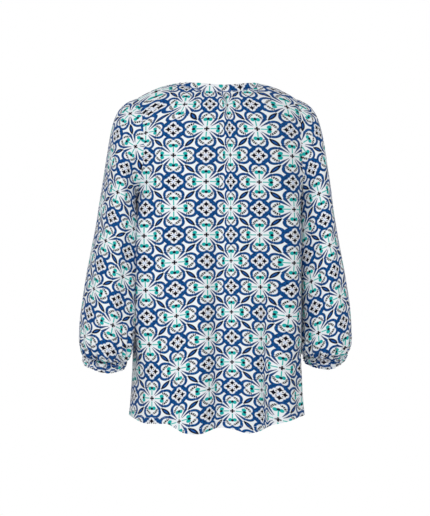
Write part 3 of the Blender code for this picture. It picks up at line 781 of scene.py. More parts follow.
def panel(side):
    """Middle points and normals of a panel, from hem to top edge, and the neck's columns."""
    across = panel_columns(side)
    upper = armhole_rises(side, ARMHOLE_ROWS)
    rises = np.concatenate([np.linspace(0, 1, BODY_ROWS + 1)[:-1], upper])[:, None]
    top = neck_rise(side, across)
    rise = rises - (2 - top) * np.maximum(rises - 1, 0) ** NECK_ROW_POWER[side]
    edge = torso_across(armhole_angle(side, np.maximum(rise, 1)))
    angle = torso_angle(across * np.where(rise > 1, edge, 1.0))
    base = torso(side, angle, rise)
    plain = torso_normal(side, angle, rise)
    below = run_lengths(base[::-1])[::-1]
    place = across / neck_share()
    offset = crease_offset(side, across[None, :], base[..., 2])
    window = ease((NECK_WINDOW - np.abs(place)) / NECK_WINDOW_EDGE)
    offset = offset + gather_offset(side, place[None, :], below) * window
    offset = offset + SWELL * waver(base[..., 0] + 0.3 * side, base[..., 2], SWELL_SIZE)
    calm = ease(below / CALM_TOP) * ease((1 - np.abs(across)) / CALM_SIDES)[None, :]
    offset = np.where(np.abs(place)[None, :] < 1, offset, offset * calm)
    points = base + offset[..., None] * plain
    loop = Armhole(ARMHOLE_ROWS)
    line, walls = loop.points[loop.order(side)], loop.normals[loop.order(side)]
    right, left = (-1, 0) if side == BACK else (0, -1)
    points[BODY_ROWS:, right], points[BODY_ROWS:, left] = line, line * MIRROR
    normals = grid_normals(points, False)
    normals[BODY_ROWS:, right], normals[BODY_ROWS:, left] = walls, walls * MIRROR
    ridge = np.abs(place) >= 1 - 1e-6
    normals[-1, ridge] = unit(plain[-1] + torso_normal(-side, angle[-1], rise[-1]))[ridge]
    for k in (0, -1):
        normals[:BODY_ROWS, k] = (np.sign(points[0, k, 0]), 0, 0)
    return points, normals, across, rise, below, base, plain


PRINT_LEVEL_Z = -0.2545  # a row of flowers lies at this height of the back
PRINT_SHIFT = 0.006  # and a column of them this far beside the centre back
# How much more cloth runs into the neckband than its length.
NECK_DRAW = {BACK: 0.30, FRONT: 0.14}
NECK_DRAW_WIDTH = 0.12
NECK_DRAW_DEPTH = 0.13
NECK_PULL = 0.029  # how far the cloth left of the neck is pulled in towards its gathers
NECK_PULL_PLACE = -0.118
NECK_PULL_REACH = 0.050
NECK_PULL_Z = -0.085
NECK_PULL_FADE = 0.045
SIDE_SLACK = 0.035  # how much longer the print runs near the side seams
SIDE_SLACK_FROM = 0.07
PRINT_LIFT = 0.024  # the lower rows lie higher in the middle of the back
PRINT_LIFT_ASIDE = 0.25  # share of it away from the middle
PRINT_LIFT_WIDTH = 0.055

# Cloth that folds take up, so that the print runs narrower there: where, over what width,
# how much at the top of the panel, how much at the hem, and where it starts to change.
TUCKS = table(
    "side place reach upper lower change_z",
    (BACK, -0.0020, 0.036, 0.0210, 0.0070, -0.20),
    (BACK, -0.0300, 0.030, 0.0000, 0.0140, -0.20),
    (BACK, 0.0760, 0.026, 0.0000, 0.0320, -0.30),
    (BACK, -0.1000, 0.030, 0.0000, 0.0100, -0.34),
    (BACK, 0.1150, 0.080, -0.0170, -0.0060, -0.26),
    (BACK, 0.1800, 0.060, -0.0120, -0.0180, -0.26),
    (BACK, -0.1500, 0.050, 0.0060, 0.0050, -0.26),
    (BACK, -0.2150, 0.060, -0.0120, -0.0120, -0.26),
    (FRONT, 0.0000, 0.080, 0.0160, 0.0160, -0.30),
    (FRONT, -0.0700, 0.040, 0.0000, 0.0120, -0.30),
    (FRONT, 0.0800, 0.040, 0.0000, 0.0140, -0.30),
)
LEVEL_BLEND = 0.5  # rise over which the print's rows turn to follow the shoulders


def add_panel(name, side, materials):
    """A panel with its print, hem turn-up and drawn-in seams."""
    points, normals, across, rise, below, base, plain = panel(side)
    east = np.array([1.0 if side == BACK else -1.0, 0, 0])
    laid = unit(east - (plain @ east)[..., None] * plain)
    level = unit(np.cross(UP, plain))
    blend = ease((rise - 1) / LEVEL_BLEND)[..., None]
    level = unit(blend * laid + (1 - blend) * level)
    u, v = print_map(base, level, np.cross(plain, level))
    centre = int(np.argmin(np.abs(across)))
    u = u - u[:, centre : centre + 1]
    v = v - v[BODY_ROWS, centre] + (UNDERARM_Z - PRINT_LEVEL_Z)
    uv = np.stack(taken_up(side, u, v, base[..., 2], below), axis=-1)
    above_hem = run_lengths(points)
    turned_up = ease((HEM_TURN + HEM_EDGE_ABOVE - above_hem) / HEM_EDGE)
    thickness = CLOTH + (HEM_CLOTH - CLOTH) * turned_up
    seam = np.zeros(points.shape[:2])
    seam[:, [0, -1]] = SEAM_DIP
    seam[-1, np.abs(across) >= neck_share()] = SEAM_DIP
    points = points - normals * seam[..., None]
    piece = cloth_piece(name, points, normals, thickness, uv, False, materials)
    return piece, points, normals, above_hem


def taken_up(side, u, v, z, below):
    """Cloth that gathers and folds take up: the print runs narrower there than the form is wide."""
    made = u - PRINT_SHIFT
    for tuck in TUCKS:
        if tuck.side == side:
            lower = ease((tuck.change_z - z) / (tuck.change_z - HEM_CENTRE_Z))
            amount = tuck.upper + (tuck.lower - tuck.upper) * lower
            passed = ease((u - tuck.place) / tuck.reach + 0.5) - ease(0.5 - tuck.place / tuck.reach)
            made = made + amount * passed
    draw = NECK_DRAW[side] * ease(1 - below / NECK_DRAW_DEPTH) * bell(u, NECK_DRAW_WIDTH)
    v = v * (1 - SIDE_SLACK * ease((np.abs(u) - SIDE_SLACK_FROM) / SIDE_SLACK_FROM))
    if side == BACK:
        pulled = NECK_PULL * bell(u - NECK_PULL_PLACE, NECK_PULL_REACH)
        made = made - pulled * ease((z - NECK_PULL_Z) / NECK_PULL_FADE)
        lift = np.clip((PRINT_LEVEL_Z - z) / (PRINT_LEVEL_Z - HEM_CENTRE_Z), 0, 1) ** 2
        middle = PRINT_LIFT_ASIDE + (1 - PRINT_LIFT_ASIDE) * bell(u, PRINT_LIFT_WIDTH)
        v = v - PRINT_LIFT * lift * middle
    return made * (1 + draw), v


# ------------------------------------------------------------------ sleeves and cuffs
UNEVEN = ((0.075, 3, 1), (0.05, 7, -2), (0.02, 16, 0))
HEAD_SOFT_REACH = 14  # rows over which the bend below the sleeve head is evened out
HEAD_SOFT_ROWS = 18.0  # and how far from it that is done
ARM_CROWDING = 0.25  # rows of the arm lie closer towards the cuff
ARM_CROWDING_POWER = 2.2
PUFF_REACH = 0.055  # how far up the gathers above a cuff run, and how that varies round it
PUFF_REACHES = ((0.028, 5, 1), (0.014, 11, 0))
PUFF_START = 0.02
PUFF_POWER = 1.4
PUFF_AT_CUFF = 0.35  # share of their depth that the gathers keep at the cuff's seam
PUFF_AT_CUFF_REACH = 0.008
SLEEVE_SWELL = 0.0009
SLEEVE_SWELL_SIZE = 0.075
SLEEVE_CALM_ROWS = 10.0  # rows below the armhole where the swells have died out
SLEEVE_CALM_CUFF = 0.02


def ripples(rows, turn, hand):
    """Crossing sine waves round a sleeve: the height, count and phase of each."""
    return [size * np.sin(count * turn + phase * hand) for size, count, phase in rows]


def uneven(turn, hand):
    """The turn warped so that ripples counted on it come out wider and narrower in turn."""
    return sum(ripples(UNEVEN, turn, hand), turn)


def pinched(turn):
    """Puffs of gathered cloth counted on a turn: round at the crest, with narrow valleys."""
    return 2 * np.abs(np.cos(turn / 2)) - 1


def pucker_offset(hand, turn, z):
    """How far creases push a sleeve in (negative), as crease_offset does on a panel."""
    offset = np.zeros(z.shape)
    for pucker in PUCKERS:
        if pucker.hand == hand:
            way = way_down(pucker, z, CUFF_TOP_Z)
            off = turn[None, :] - math.radians(pucker.turn) - math.radians(pucker.twist) * way
            off = (off + math.pi) % (2 * math.pi) - math.pi
            width = math.radians(pucker.width)
            offset -= pucker.depth * bell(off, width) * fold_strength(pucker, z)
    return offset


def puff_offset(hand, turn, z):
    """How far the gathers above a cuff stand out: puffs that die out upwards."""
    reach = sum(ripples(PUFF_REACHES, turn, hand), PUFF_REACH)[None, :]
    grown = ease((CUFF_TOP_Z + reach + PUFF_START - z) / (reach + PUFF_START)) ** PUFF_POWER
    from_seam = ease((z - CUFF_TOP_Z) / PUFF_AT_CUFF_REACH)
    grown = grown * (PUFF_AT_CUFF + (1 - PUFF_AT_CUFF) * from_seam)
    strength = 0.75 + 0.25 * np.sin(4 * turn + 2 * hand)
    waves = pinched(SLEEVE_GATHERS * uneven(turn, hand)[None, :])
    return SLEEVE_GATHER_DEPTH * grown * strength * waves


def sleeve(hand):
    """Middle points of a sleeve, built as the right one, and its normals."""
    loop = Armhole(ARMHOLE_ROWS)
    turn = loop.turn
    head = np.array([loop.head(t) for t in np.linspace(0, 1, HEAD_ROWS + 1)])
    share = np.linspace(0, 1, ARM_ROWS + 1)[1:, None]
    down = (1 + ARM_CROWDING) * share - ARM_CROWDING * share**ARM_CROWDING_POWER
    z, turns = np.broadcast_arrays(BICEPS_Z + (CUFF_TOP_Z - BICEPS_Z) * down, turn)
    base = np.concatenate([head, sleeve_ring(z, turns)])
    rows = np.arange(len(base))
    near = bell(rows - HEAD_ROWS, HEAD_SOFT_ROWS)[:, None, None]
    base = base + (smoothed(base, HEAD_SOFT_REACH, 0, False) - base) * near
    z = base[..., 2]
    calm = ease(rows / SLEEVE_CALM_ROWS)[:, None] * ease((z - CUFF_TOP_Z) / SLEEVE_CALM_CUFF)
    swell = waver(0.05 * turn[None, :] * hand + 0.2 * hand, z, SLEEVE_SWELL_SIZE)
    offset = pucker_offset(hand, turn, z) + puff_offset(hand, turn, z) + SLEEVE_SWELL * swell * calm
    points = base + offset[..., None] * grid_normals(base, True)
    points[HEAD_ROWS:] = cuff_tilted(points[HEAD_ROWS:], hand)
    normals = grid_normals(points, True)
    normals[0] = loop.normals
    return points, normals, turn


def turned(hand, *grids):
    """The right arm's grids for either arm: the left one is mirrored and its columns reversed."""
    return grids if hand == RIGHT else tuple(grid[:, ::-1] * MIRROR for grid in grids)


def wrapped(uv, hand):
    """The print's places for either arm, column order as in turned."""
    return uv if hand == RIGHT else uv[:, ::-1] * MIRROR[:2]


# How the print lies on a hanging sleeve: the cloth is fuller than the form by across and
# along, its columns slant and its rows fall towards the body.
LAYS = table(
    "across slant along fall shift level",
    (1.251, 0.088, 0.965, 0.419, 0.053, -0.015),
    (1.164, 0.160, 1.030, 0.463, -0.042, 0.0415),
)
SLEEVE_LAY = {RIGHT: LAYS[0], LEFT: LAYS[1]}
SLEEVE_GRAIN = 0.15  # how far the grain leans outwards over the sleeve head


def add_sleeve(name, hand, materials):
    """A sleeve with its print: the cloth keeps its width where the gathers take it up."""
    points, normals, turn = sleeve(hand)
    ring, wall = (np.concatenate([grid, grid[:, :1]], axis=1) for grid in (points, normals))
    rows = np.arange(len(points))[:, None]
    lean = SLEEVE_GRAIN * (1 - ease(rows / HEAD_ROWS))
    down = np.stack([lean, 0 * lean, -1 + 0 * lean], axis=-1)
    grain = -unit(down - (wall * down).sum(-1, keepdims=True) * wall)
    u, v = print_map(ring, np.cross(grain, wall), grain)
    outside = len(turn) // 2
    u = u - u[:, outside : outside + 1]
    v = v - v[HEAD_ROWS, outside]
    width = np.abs(u[:, -1:] - u[:, :1])
    cloth = np.maximum.accumulate(np.where(rows < HEAD_ROWS, 0, width), axis=0)
    u = u * np.maximum(cloth / width, 1)
    lay = SLEEVE_LAY[hand]
    print_u = lay.across * u + lay.slant * v + lay.shift
    print_v = lay.along * v - lay.fall * u + lay.level
    uv = np.stack([print_u, print_v], axis=-1)
    seam = np.zeros(points.shape[:2])
    seam[[0, -1]] = SEAM_DIP
    points, normals = turned(hand, points - normals * seam[..., None], normals)
    piece = cloth_piece(name, points, normals, CLOTH, wrapped(uv, hand), True, materials)
    return piece, float(cloth[-1, 0]), (lay.shift, float(print_v[-1].mean()))


CUFF_PLUMP = 0.0016  # how much a cuff swells out between its seam and its edge
CUFF_GROOVE = 0.0009  # how deep each elastic's stitching draws it in, and over what share
CUFF_GROOVE_WIDTH = 0.05
CUFF_HELD = 0.55  # how much that stitching flattens the ruches, and over what share
CUFF_HELD_WIDTH = 0.06
CUFF_PHASE = 0.7  # sets the ruches off from the gathers above


def cuff(hand):
    """The elasticated cuff: rings drawn in by the elastic, with uneven ruches across them."""
    count = 3 * ARMHOLE_ROWS
    turn = math.pi - 2 * math.pi * np.arange(count) / count
    share = np.linspace(0, 1, CUFF_ROWS + 1)[:, None]
    angle = sleeve_angle(turn)
    plump = CUFF_PLUMP * np.sin(math.pi * share) ** 0.5
    for line in ELASTIC_LINES:
        plump = plump - CUFF_GROOVE * bell(share - line, CUFF_GROOVE_WIDTH)
    held = 1 - CUFF_HELD * sum(bell(share - line, CUFF_HELD_WIDTH) for line in ELASTIC_LINES)
    waves = CUFF_RUCHES * uneven(turn, hand + CUFF_PHASE)[None, :] + 0.9 * np.sin(5 * share)
    strength = 0.7 + 0.3 * np.sin(6 * turn + 3 * hand)[None, :]
    ruches = CUFF_RUCHE_DEPTH * pinched(waves) * held * strength * ease(share / 0.10 + 0.3)
    grow = plump + ruches - CUFF_TAPER * share**2
    x = CUFF_X + (CUFF_HALF_WIDTH + grow) * np.cos(angle)
    y = (CUFF_HALF_DEPTH + grow) * np.sin(angle)
    lift = CUFF_SIDE_LIFT - CUFF_BACK_DROP * np.clip(-np.sin(angle), 0, 1) ** 2
    z = CUFF_TOP_Z - share * CUFF_HEIGHT + share * lift
    points = cuff_tilted(np.stack([x, y, z], axis=-1), hand)
    return points, grid_normals(points, True), turn


CUFF_FULLNESS = 1.2  # the elastic draws the cloth in further than the gathers above it
VALLEY_WIDTH = 0.24  # as a share of a puff
CUFF_PRINT_LENGTH = 1.2  # length of print on a cuff as a share of its height


def add_cuff(name, hand, cloth_width, start, materials):
    """A cuff whose print is broken up: each valley between two puffs hides a strip of cloth."""
    points, normals, turn = cuff(hand)
    rows, count = points.shape[:2]
    turn = np.append(turn, -math.pi)
    puffs = -CUFF_RUCHES * uneven(turn, hand + CUFF_PHASE) / (2 * math.pi)
    valleys = np.floor(puffs) + ease((puffs % 1 - 0.5) / VALLEY_WIDTH + 0.5)
    hidden = (cloth_width * CUFF_FULLNESS - 2 * math.pi * CUFF_HALF_WIDTH) / CUFF_RUCHES
    along = hidden * valleys - turn * CUFF_HALF_WIDTH
    along = (along - along[count // 2])[None, :]
    down = np.linspace(0, CUFF_HEIGHT * CUFF_PRINT_LENGTH, rows)[:, None]
    uv = np.stack(np.broadcast_arrays(along + start[0], start[1] - down), axis=-1)
    points, normals = turned(hand, points, normals)
    piece = cloth_piece(name, points, normals, CUFF_CLOTH, wrapped(uv, hand), True, materials)
    return piece, points, normals


# ------------------------------------------------------------------ neckband
BAND_PLACE = (0.030, -0.014)  # where the band lies on the print
BAND_RISE = 1.32  # height of the cloth band as a share of the solid's
BAND_CORNER = 0.66  # how much lower it is at the neck points, and over what width
BAND_CORNER_WIDTH = 0.020
BAND_SMOOTHING = 12  # columns over which its upper edge is evened out
BAND_EVEN = 14  # columns over which its lean is
BAND_FULLER = 0.0009
BAND_TUG = 0.00022  # small waves that the stitches pull into its lower edge
BAND_TUG_PITCH = 0.0047


def around(directions, reach):
    """Directions of a closed line, each averaged with its neighbours on both sides."""
    return unit(sum(np.roll(directions, k, axis=0) for k in range(-reach, reach + 1)))


def add_neckband(materials):
    """The folded band, a little fuller in the middle than at the edges."""
    lower, outward = [], []
    for side in (BACK, FRONT):
        across = panel_columns(side)
        across = across[np.abs(across) <= neck_share() + 1e-9]
        rise = neck_rise(side, across)
        angle = panel_angle(side, across, rise)
        normals = torso_normal(side, angle, rise)
        normals[[0, -1]] = unit(normals + torso_normal(-side, angle, rise))[[0, -1]]
        lower.append(torso(side, angle, rise)[:-1])
        outward.append(normals[:-1])
    lower, outward = np.concatenate(lower), np.concatenate(outward)
    tangent = tangents(lower)
    into_neck = unit(np.cross(outward, tangent))
    rising = unit(around(into_neck, BAND_EVEN) + BAND_STAND * UP)
    band_out = unit(np.cross(tangent, rising))
    share = np.linspace(0, 1, BAND_ROWS + 1)[:, None, None]
    corner = bell(np.abs(lower[:, :1]) - NECK_HALF_WIDTH, BAND_CORNER_WIDTH)
    height = BAND_HEIGHT * (BAND_RISE - BAND_CORNER * corner)
    fuller = BAND_FULLER * np.sin(math.pi * share)
    points = lower + rising * share * height + band_out * fuller
    points = points + share**2 * (smoothed(points, BAND_SMOOTHING, 1, True) - points)
    along = run_lengths(np.concatenate([lower, lower[:1]]))
    place = along[:-1]
    tug = BAND_TUG * np.sin(2 * math.pi * place / BAND_TUG_PITCH + 2 * np.sin(place / 0.03))
    points = points + band_out * (tug[:, None] * np.cos(math.pi * share / 2))
    normals = grid_normals(points, True)
    normals = normals * np.sign((normals * band_out).sum(-1, keepdims=True))
    u, v = np.broadcast_arrays(along - along[NECK_COLUMNS // 2], share[:, :, 0] * BAND_HEIGHT)
    uv = np.stack([u, v], axis=-1) + BAND_PLACE
    thickness = BAND_CLOTH * (0.55 + 0.45 * np.sin(math.pi * share[..., 0]) ** 0.5)
    piece = cloth_piece("neckband_cloth", points, normals, thickness, uv, True, materials)
    return piece, points, normals


# ------------------------------------------------------------------ stitching
STITCH = 0.0026
STITCH_PITCH = 0.0034
THREAD = 0.00050
THREAD_SIDES = 6
THREAD_LIFT = 0.15  # how far a stitch stands out of the cloth, as a share of its thickness


def stitches(name, path, normals, closed, material):
    """Topstitching: short capsules of thread laid along a line at an even pitch."""
    if closed:
        path, normals = (np.concatenate([line, line[:1]]) for line in (path, normals))
    length = run_lengths(path)
    at = np.arange(STITCH_PITCH / 2, length[-1] - STITCH / 2, STITCH_PITCH)

    def picked(line, places):
        return np.stack([np.interp(places, length, line[:, k]) for k in range(3)], axis=-1)

    spots, outs = picked(path, at), unit(picked(normals, at))
    along = unit(picked(path, at + STITCH / 2) - spots)
    aside = unit(np.cross(outs, along))
    steps = np.array([-0.5, -0.38, 0.38, 0.5]) * STITCH
    girth = np.array([0.35, 1.0, 1.0, 0.35])[:, None] * THREAD / 2
    turn = np.linspace(0, 2 * math.pi, THREAD_SIDES, endpoint=False)
    ring_a, ring_b = (girth * np.cos(turn)).ravel(), (girth * np.sin(turn)).ravel()
    verts = (
        spots[:, None]
        + along[:, None] * np.repeat(steps, THREAD_SIDES)[None, :, None]
        + aside[:, None] * ring_a[None, :, None]
        + outs[:, None] * (ring_b + THREAD * THREAD_LIFT)[None, :, None]
    )
    walls = grid_faces(len(steps), THREAD_SIDES, THREAD_SIDES)[:, [0, 3, 2, 1]]
    last = (len(steps) - 1) * THREAD_SIDES
    start = np.array([[0, 1, 2, 3], [0, 3, 4, 5]])
    one = np.concatenate([walls, start, last + start[:, [0, 3, 2, 1]]])
    faces = (one[None] + (np.arange(len(spots)) * len(ring_a))[:, None, None]).reshape(-1, 4)
    return mesh_piece(name, leant(verts.reshape(-1, 3)), faces, np.zeros(len(faces)), [material])


# ------------------------------------------------------------------ finishes
def linear(code):
    """Linear colour of an sRGB hex code."""
    value = np.array([int(code[k : k + 2], 16) / 255 for k in (0, 2, 4)])
    low, high = value / 12.92, ((value + 0.055) / 1.055) ** 2.4
    return (*np.where(value <= 0.04045, low, high).tolist(), 1.0)


def add(tree, kind, *values, out=0, **settings):
    """Adds one node, sets it, links or sets its inputs, and gives one output.

    Kind is the node's type with its operation after a point. Values are its inputs in order,
    or one dictionary of them by name or number.
    """
    kind, _, operation = kind.partition(".")
    node = tree.nodes.new("ShaderNode" + kind)
    for name, value in {**({"operation": operation} if operation else {}), **settings}.items():
        setattr(node, name, value)
    inputs = values[0] if values and isinstance(values[0], dict) else dict(enumerate(values))
    for key, value in inputs.items():
        if isinstance(value, bpy.types.NodeSocket):
            tree.links.new(value, node.inputs[key])
        else:
            node.inputs[key].default_value = value
    return node.outputs[out] if node.outputs else node


def new_material(name):
    """An empty material, and its node tree."""
    material = bpy.data.materials.new(name)
    material.use_nodes = True
    material.node_tree.nodes.clear()
    return material, material.node_tree


# The dyes of the print.
WHITE = "E6EAED"
ROYAL = ("011E4A", "0B599F")  # where the blue lies thick and thin
FINE_LINE = "2A3A62"
PETAL_EDGE = "D9DFE9"
DASHES = "0D0A12"
HEART = "140F18"
STEM = "3FB9B1"
STAR = "0C0B1C"
LEAF, LEAF_CORE = "0B0D20", "1A529C"

# The chart of the print, in cells. Centres are a and b as tile_print has them.
DYE_EDGE = 0.006  # how softly a dye ends
MEDALLION_GROUND = 0.372  # reach of the blue round a medallion
PETAL_TURN = math.radians(28.4)  # half the angle of a petal's cone
PETAL_SHIFT = 0.0175  # the cone's sides pass this far outside the flower's centre
PETAL_LOBE = (0.510, 0.121, 0.0)
PETAL_HEM = 0.014  # width of a petal's tinted edge
LOBE_RADIUS = 0.127
CONE_END = 0.507
LINE_FROM, LINE_TO = (0.16, 0.021), (0.50, 0.092)  # distance along a petal, width of its line
LINE_START = (0.11, 0.18, -0.05)  # the line grows out of nothing between these distances
LINE_FADE = (0.20, 0.52)  # and turns from fine to royal between these
BAR = 0.372  # how far out the teal bar crosses a petal
DASH_RING = 0.195  # radius of the ring of dashes round it
DASH_RING_HALF = 0.037
DASH_HALF = 0.024
DASH_TURN = math.radians(19.0)
DASH_START = math.radians(8.5)
DASH_LEAST_A, DASH_LEAST_B = 0.385, 0.040  # no dashes nearer to the flower or the axis
STEM_MIDDLE, STEM_LENGTH, STEM_HALF = 0.235, 0.100, 0.020
HEART_LENGTH, HEART_HALF = 0.058, 0.027
BAR_SPOTS = (((0.364, 0.083, 0), 0.070, "12A6A4"), ((0.388, 0, 0), 0.050, "0B1730"))
MEDALLION_TIP = (0.810, 0, 0)
MEDALLION_SCALLOP = (0.884, 0.116, 0)
SCALLOP_LESS, MIDDLE_MORE = 0.040, 0.075
MEDALLION_DYES = ((0.112, "CBD6E6"), (0.100, "E2E4E8"))
PALE_RING, PALE_RING_HALF, PALE_RING_DYE = 0.042, 0.012, "B4C6E4"
SEED, SEED_RADIUS, SEED_DYE = (0.915, 0.085, 0), 0.028, "7D7678"
STAR_MIDDLE, STAR_POWER, STAR_REACH = (0.846, 0, 0), 0.58, 0.310
LEAF_BEND, LEAF_HALF = 1.40, 0.072
LEAF_CORE_BEND, LEAF_CORE_HALF = 1.8, 0.027


def dyed(tree, ground, measure, reach, dye):
    """Lays a dye over the colours below it, wherever a measure is under its reach."""
    dye = linear(dye) if isinstance(dye, str) else dye
    amount = add(tree, "MapRange", measure, reach + DYE_EDGE, reach - DYE_EDGE, 0.0, 1.0)
    return add(tree, "Mix", {0: amount, 6: ground, 7: dye}, out=2, data_type="RGBA")


def tile_print(tree):
    """The print: flowers and medallions that take turns on a grid of cells, folded about
    their axes so that one small triangle is drawn: a is the distance along the nearer axis
    of the nearest flower, b the distance from that axis, both in cells."""
    node = partial(add, tree)
    dye = partial(dyed, tree)
    place = node("UVMap", uv_map="cloth")
    cells = node("VectorMath.MULTIPLY", place, (1 / CELL_WIDTH, 1 / CELL_HEIGHT, 0))
    split = node("SeparateXYZ", cells).node
    folded = [node("Math.PINGPONG", split.outputs[k], 1.0) for k in (0, 1)]
    far = node("Math.GREATER_THAN", node("Math.ADD", *folded), 1.0)
    folded = [node("Math.ABSOLUTE", node("Math.SUBTRACT", side, far)) for side in folded]
    a, b = node("Math.MAXIMUM", *folded), node("Math.MINIMUM", *folded)
    spot = node("CombineXYZ", a, b)

    # Watery differences in the blue, from one dip of dye to the next.
    cloudy = node("TexNoise", {"Vector": place, "Scale": 330.0, "Detail": 3.0, "Roughness": 0.6})
    cloudy = node("MapRange", cloudy, 0.35, 0.65, 0.0, 1.0)
    thick, thin = (linear(code) for code in ROYAL)
    royal = node("Mix", {0: cloudy, 6: thick, 7: thin}, out=2, data_type="RGBA")

    # White cloth, and the blue ground round each medallion.
    from_medallion = node("VectorMath.DISTANCE", spot, (1, 0, 0), out=1)
    color = dye(linear(WHITE), from_medallion, MEDALLION_GROUND, royal)

    # Heart-shaped petals: two lobes and the cone that touches them, with a line round them
    # that is broad at the lobes and thin towards the flower's centre.
    cosine, sine = math.cos(PETAL_TURN), math.sin(PETAL_TURN)
    lobe = node("VectorMath.DISTANCE", spot, PETAL_LOBE, out=1)
    lobe = node("Math.SUBTRACT", lobe, LOBE_RADIUS)
    along = node("VectorMath.DOT_PRODUCT", spot, (cosine, sine, 0), out=1)
    cone = node("VectorMath.DOT_PRODUCT", spot, (-sine, cosine, 0), out=1)
    cone = node("Math.SUBTRACT", cone, PETAL_SHIFT)
    near = node("Math.LESS_THAN", along, CONE_END)
    petal = node("Mix", {0: near, 2: lobe, 3: cone}, data_type="FLOAT")
    widths = (LINE_FROM[0], LINE_TO[0], LINE_FROM[1], LINE_TO[1])
    line = node("MapRange", along, *widths, interpolation_type="SMOOTHSTEP")
    line = node("Math.ADD", line, node("MapRange", along, *LINE_START, 0.0))
    fading = node("MapRange", along, *LINE_FADE, 0.0, 1.0)
    outline = node("Mix", {0: fading, 6: linear(FINE_LINE), 7: royal}, out=2, data_type="RGBA")
    color = dye(color, node("Math.SUBTRACT", petal, line), 0.0, outline)
    color = dye(color, petal, 0.0, PETAL_EDGE)
    color = dye(color, petal, -PETAL_HEM, WHITE)

    # Inside a petal: a ring of short dashes, a stem, and a bar of two teal lobes with a
    # dark eye.
    turn = node("Math.ARCTAN2", b, node("Math.SUBTRACT", a, BAR))
    turn = node("Math.SUBTRACT", turn, DASH_START)
    turn = node("Math.PINGPONG", node("Math.MULTIPLY", turn, 1 / DASH_TURN), 0.5)
    dash = node("Math.MULTIPLY", turn, DASH_TURN * DASH_RING)
    dash = node("Math.SUBTRACT", dash, DASH_HALF)
    ring = node("VectorMath.DISTANCE", spot, (BAR, 0, 0), out=1)
    ring = node("Math.ABSOLUTE", node("Math.SUBTRACT", ring, DASH_RING))
    ring = node("Math.SUBTRACT", ring, DASH_RING_HALF)
    past_axis = node("Math.SUBTRACT", DASH_LEAST_B, b)
    past_flower = node("Math.SUBTRACT", DASH_LEAST_A, a)
    for bound in (ring, past_axis, past_flower):
        dash = node("Math.MAXIMUM", dash, bound)
    color = dye(color, dash, 0.0, DASHES)
    stem = node("Math.ABSOLUTE", node("Math.SUBTRACT", a, STEM_MIDDLE))
    stem = node("Math.MAXIMUM", node("Math.SUBTRACT", stem, STEM_LENGTH), b)
    color = dye(color, stem, STEM_HALF, STEM)
    for centre, radius, code in BAR_SPOTS:
        color = dye(color, node("VectorMath.DISTANCE", spot, centre, out=1), radius, code)
    heart = node("Math.MAXIMUM", node("Math.SUBTRACT", a, HEART_LENGTH), b)
    color = dye(color, heart, HEART_HALF, HEART)

    # The medallion: a scalloped diamond with four dark stars round a pale ring.
    scallop = node("VectorMath.DISTANCE", spot, MEDALLION_SCALLOP, out=1)
    scallop = node("Math.ADD", scallop, SCALLOP_LESS)
    tip = node("VectorMath.DISTANCE", spot, MEDALLION_TIP, out=1)
    middle = node("Math.SUBTRACT", from_medallion, MIDDLE_MORE)
    shape = node("Math.MINIMUM", node("Math.MINIMUM", tip, scallop), middle)
    for reach, code in MEDALLION_DYES:
        color = dye(color, shape, reach, code)
    ring = node("Math.ABSOLUTE", node("Math.SUBTRACT", from_medallion, PALE_RING))
    color = dye(color, ring, PALE_RING_HALF, PALE_RING_DYE)
    seed = node("VectorMath.DISTANCE", spot, SEED, out=1)
    color = dye(color, seed, SEED_RADIUS, SEED_DYE)
    star = node("VectorMath.ABSOLUTE", node("VectorMath.SUBTRACT", spot, STAR_MIDDLE))
    star = node("SeparateXYZ", star).node
    arms = [node("Math.POWER", star.outputs[k], STAR_POWER) for k in (0, 1)]
    color = dye(color, node("Math.ADD", *arms), STAR_REACH, STAR)

    # The leaf between four flowers, long towards two of them, with a blue heart.
    half = math.sqrt(0.5)
    out = node("VectorMath.DOT_PRODUCT", spot, (half, half, 0), out=1)
    out = node("Math.SUBTRACT", out, half)
    out = node("Math.MULTIPLY", out, out)
    off = node("VectorMath.DOT_PRODUCT", spot, (half, -half, 0), out=1)
    leaf = node("Math.MULTIPLY_ADD", out, LEAF_BEND, off)
    color = dye(color, leaf, LEAF_HALF, LEAF)
    core = node("Math.MULTIPLY_ADD", out, LEAF_CORE_BEND, off)
    return dye(color, core, LEAF_CORE_HALF, LEAF_CORE), place


THREAD_SPACING = 0.0009


def woven(tree, place):
    """Bump of a plain weave: crests of threads both ways. Real viscose has about 30 threads
    a centimetre; they are drawn 0.9 mm apart, the finest that shows."""
    threads = add(tree, "VectorMath.MULTIPLY", place, (1 / THREAD_SPACING, 1 / THREAD_SPACING, 0))
    split = add(tree, "SeparateXYZ", threads).node
    crest = [add(tree, "Math.PINGPONG", split.outputs[k], 0.5) for k in (0, 1)]
    crest = add(tree, "Math.MULTIPLY", *crest)
    slub = add(tree, "TexNoise", {"Vector": place, "Scale": 700.0, "Detail": 2.0})
    height = add(tree, "Math.ADD", crest, slub)
    return add(tree, "Bump", {"Strength": 0.10, "Distance": 0.0002, "Height": height})


def printed_viscose(name, faded=0.0):
    """Printed viscose, plain woven: matt, with a faint sheen at grazing light. The print
    shows through to its reverse as a pale ghost, which faded sets."""
    material, tree = new_material(name)
    color, place = tile_print(tree)
    if faded:
        ghost = {0: faded, 6: color, 7: linear("E9EAEE")}
        color = add(tree, "Mix", ghost, out=2, data_type="RGBA")
    grain = add(tree, "TexNoise", {"Vector": place, "Scale": 1500.0, "Detail": 1.0})
    finish = {
        "Base Color": color,
        "Roughness": add(tree, "MapRange", grain, 0.3, 0.7, 0.72, 0.88),
        "Normal": woven(tree, place),
        "Sheen Weight": 0.03,
        "Sheen Roughness": 0.5,
        "Specular IOR Level": 0.10,
    }
    add(tree, "OutputMaterial", add(tree, "BsdfPrincipled", finish))
    return material


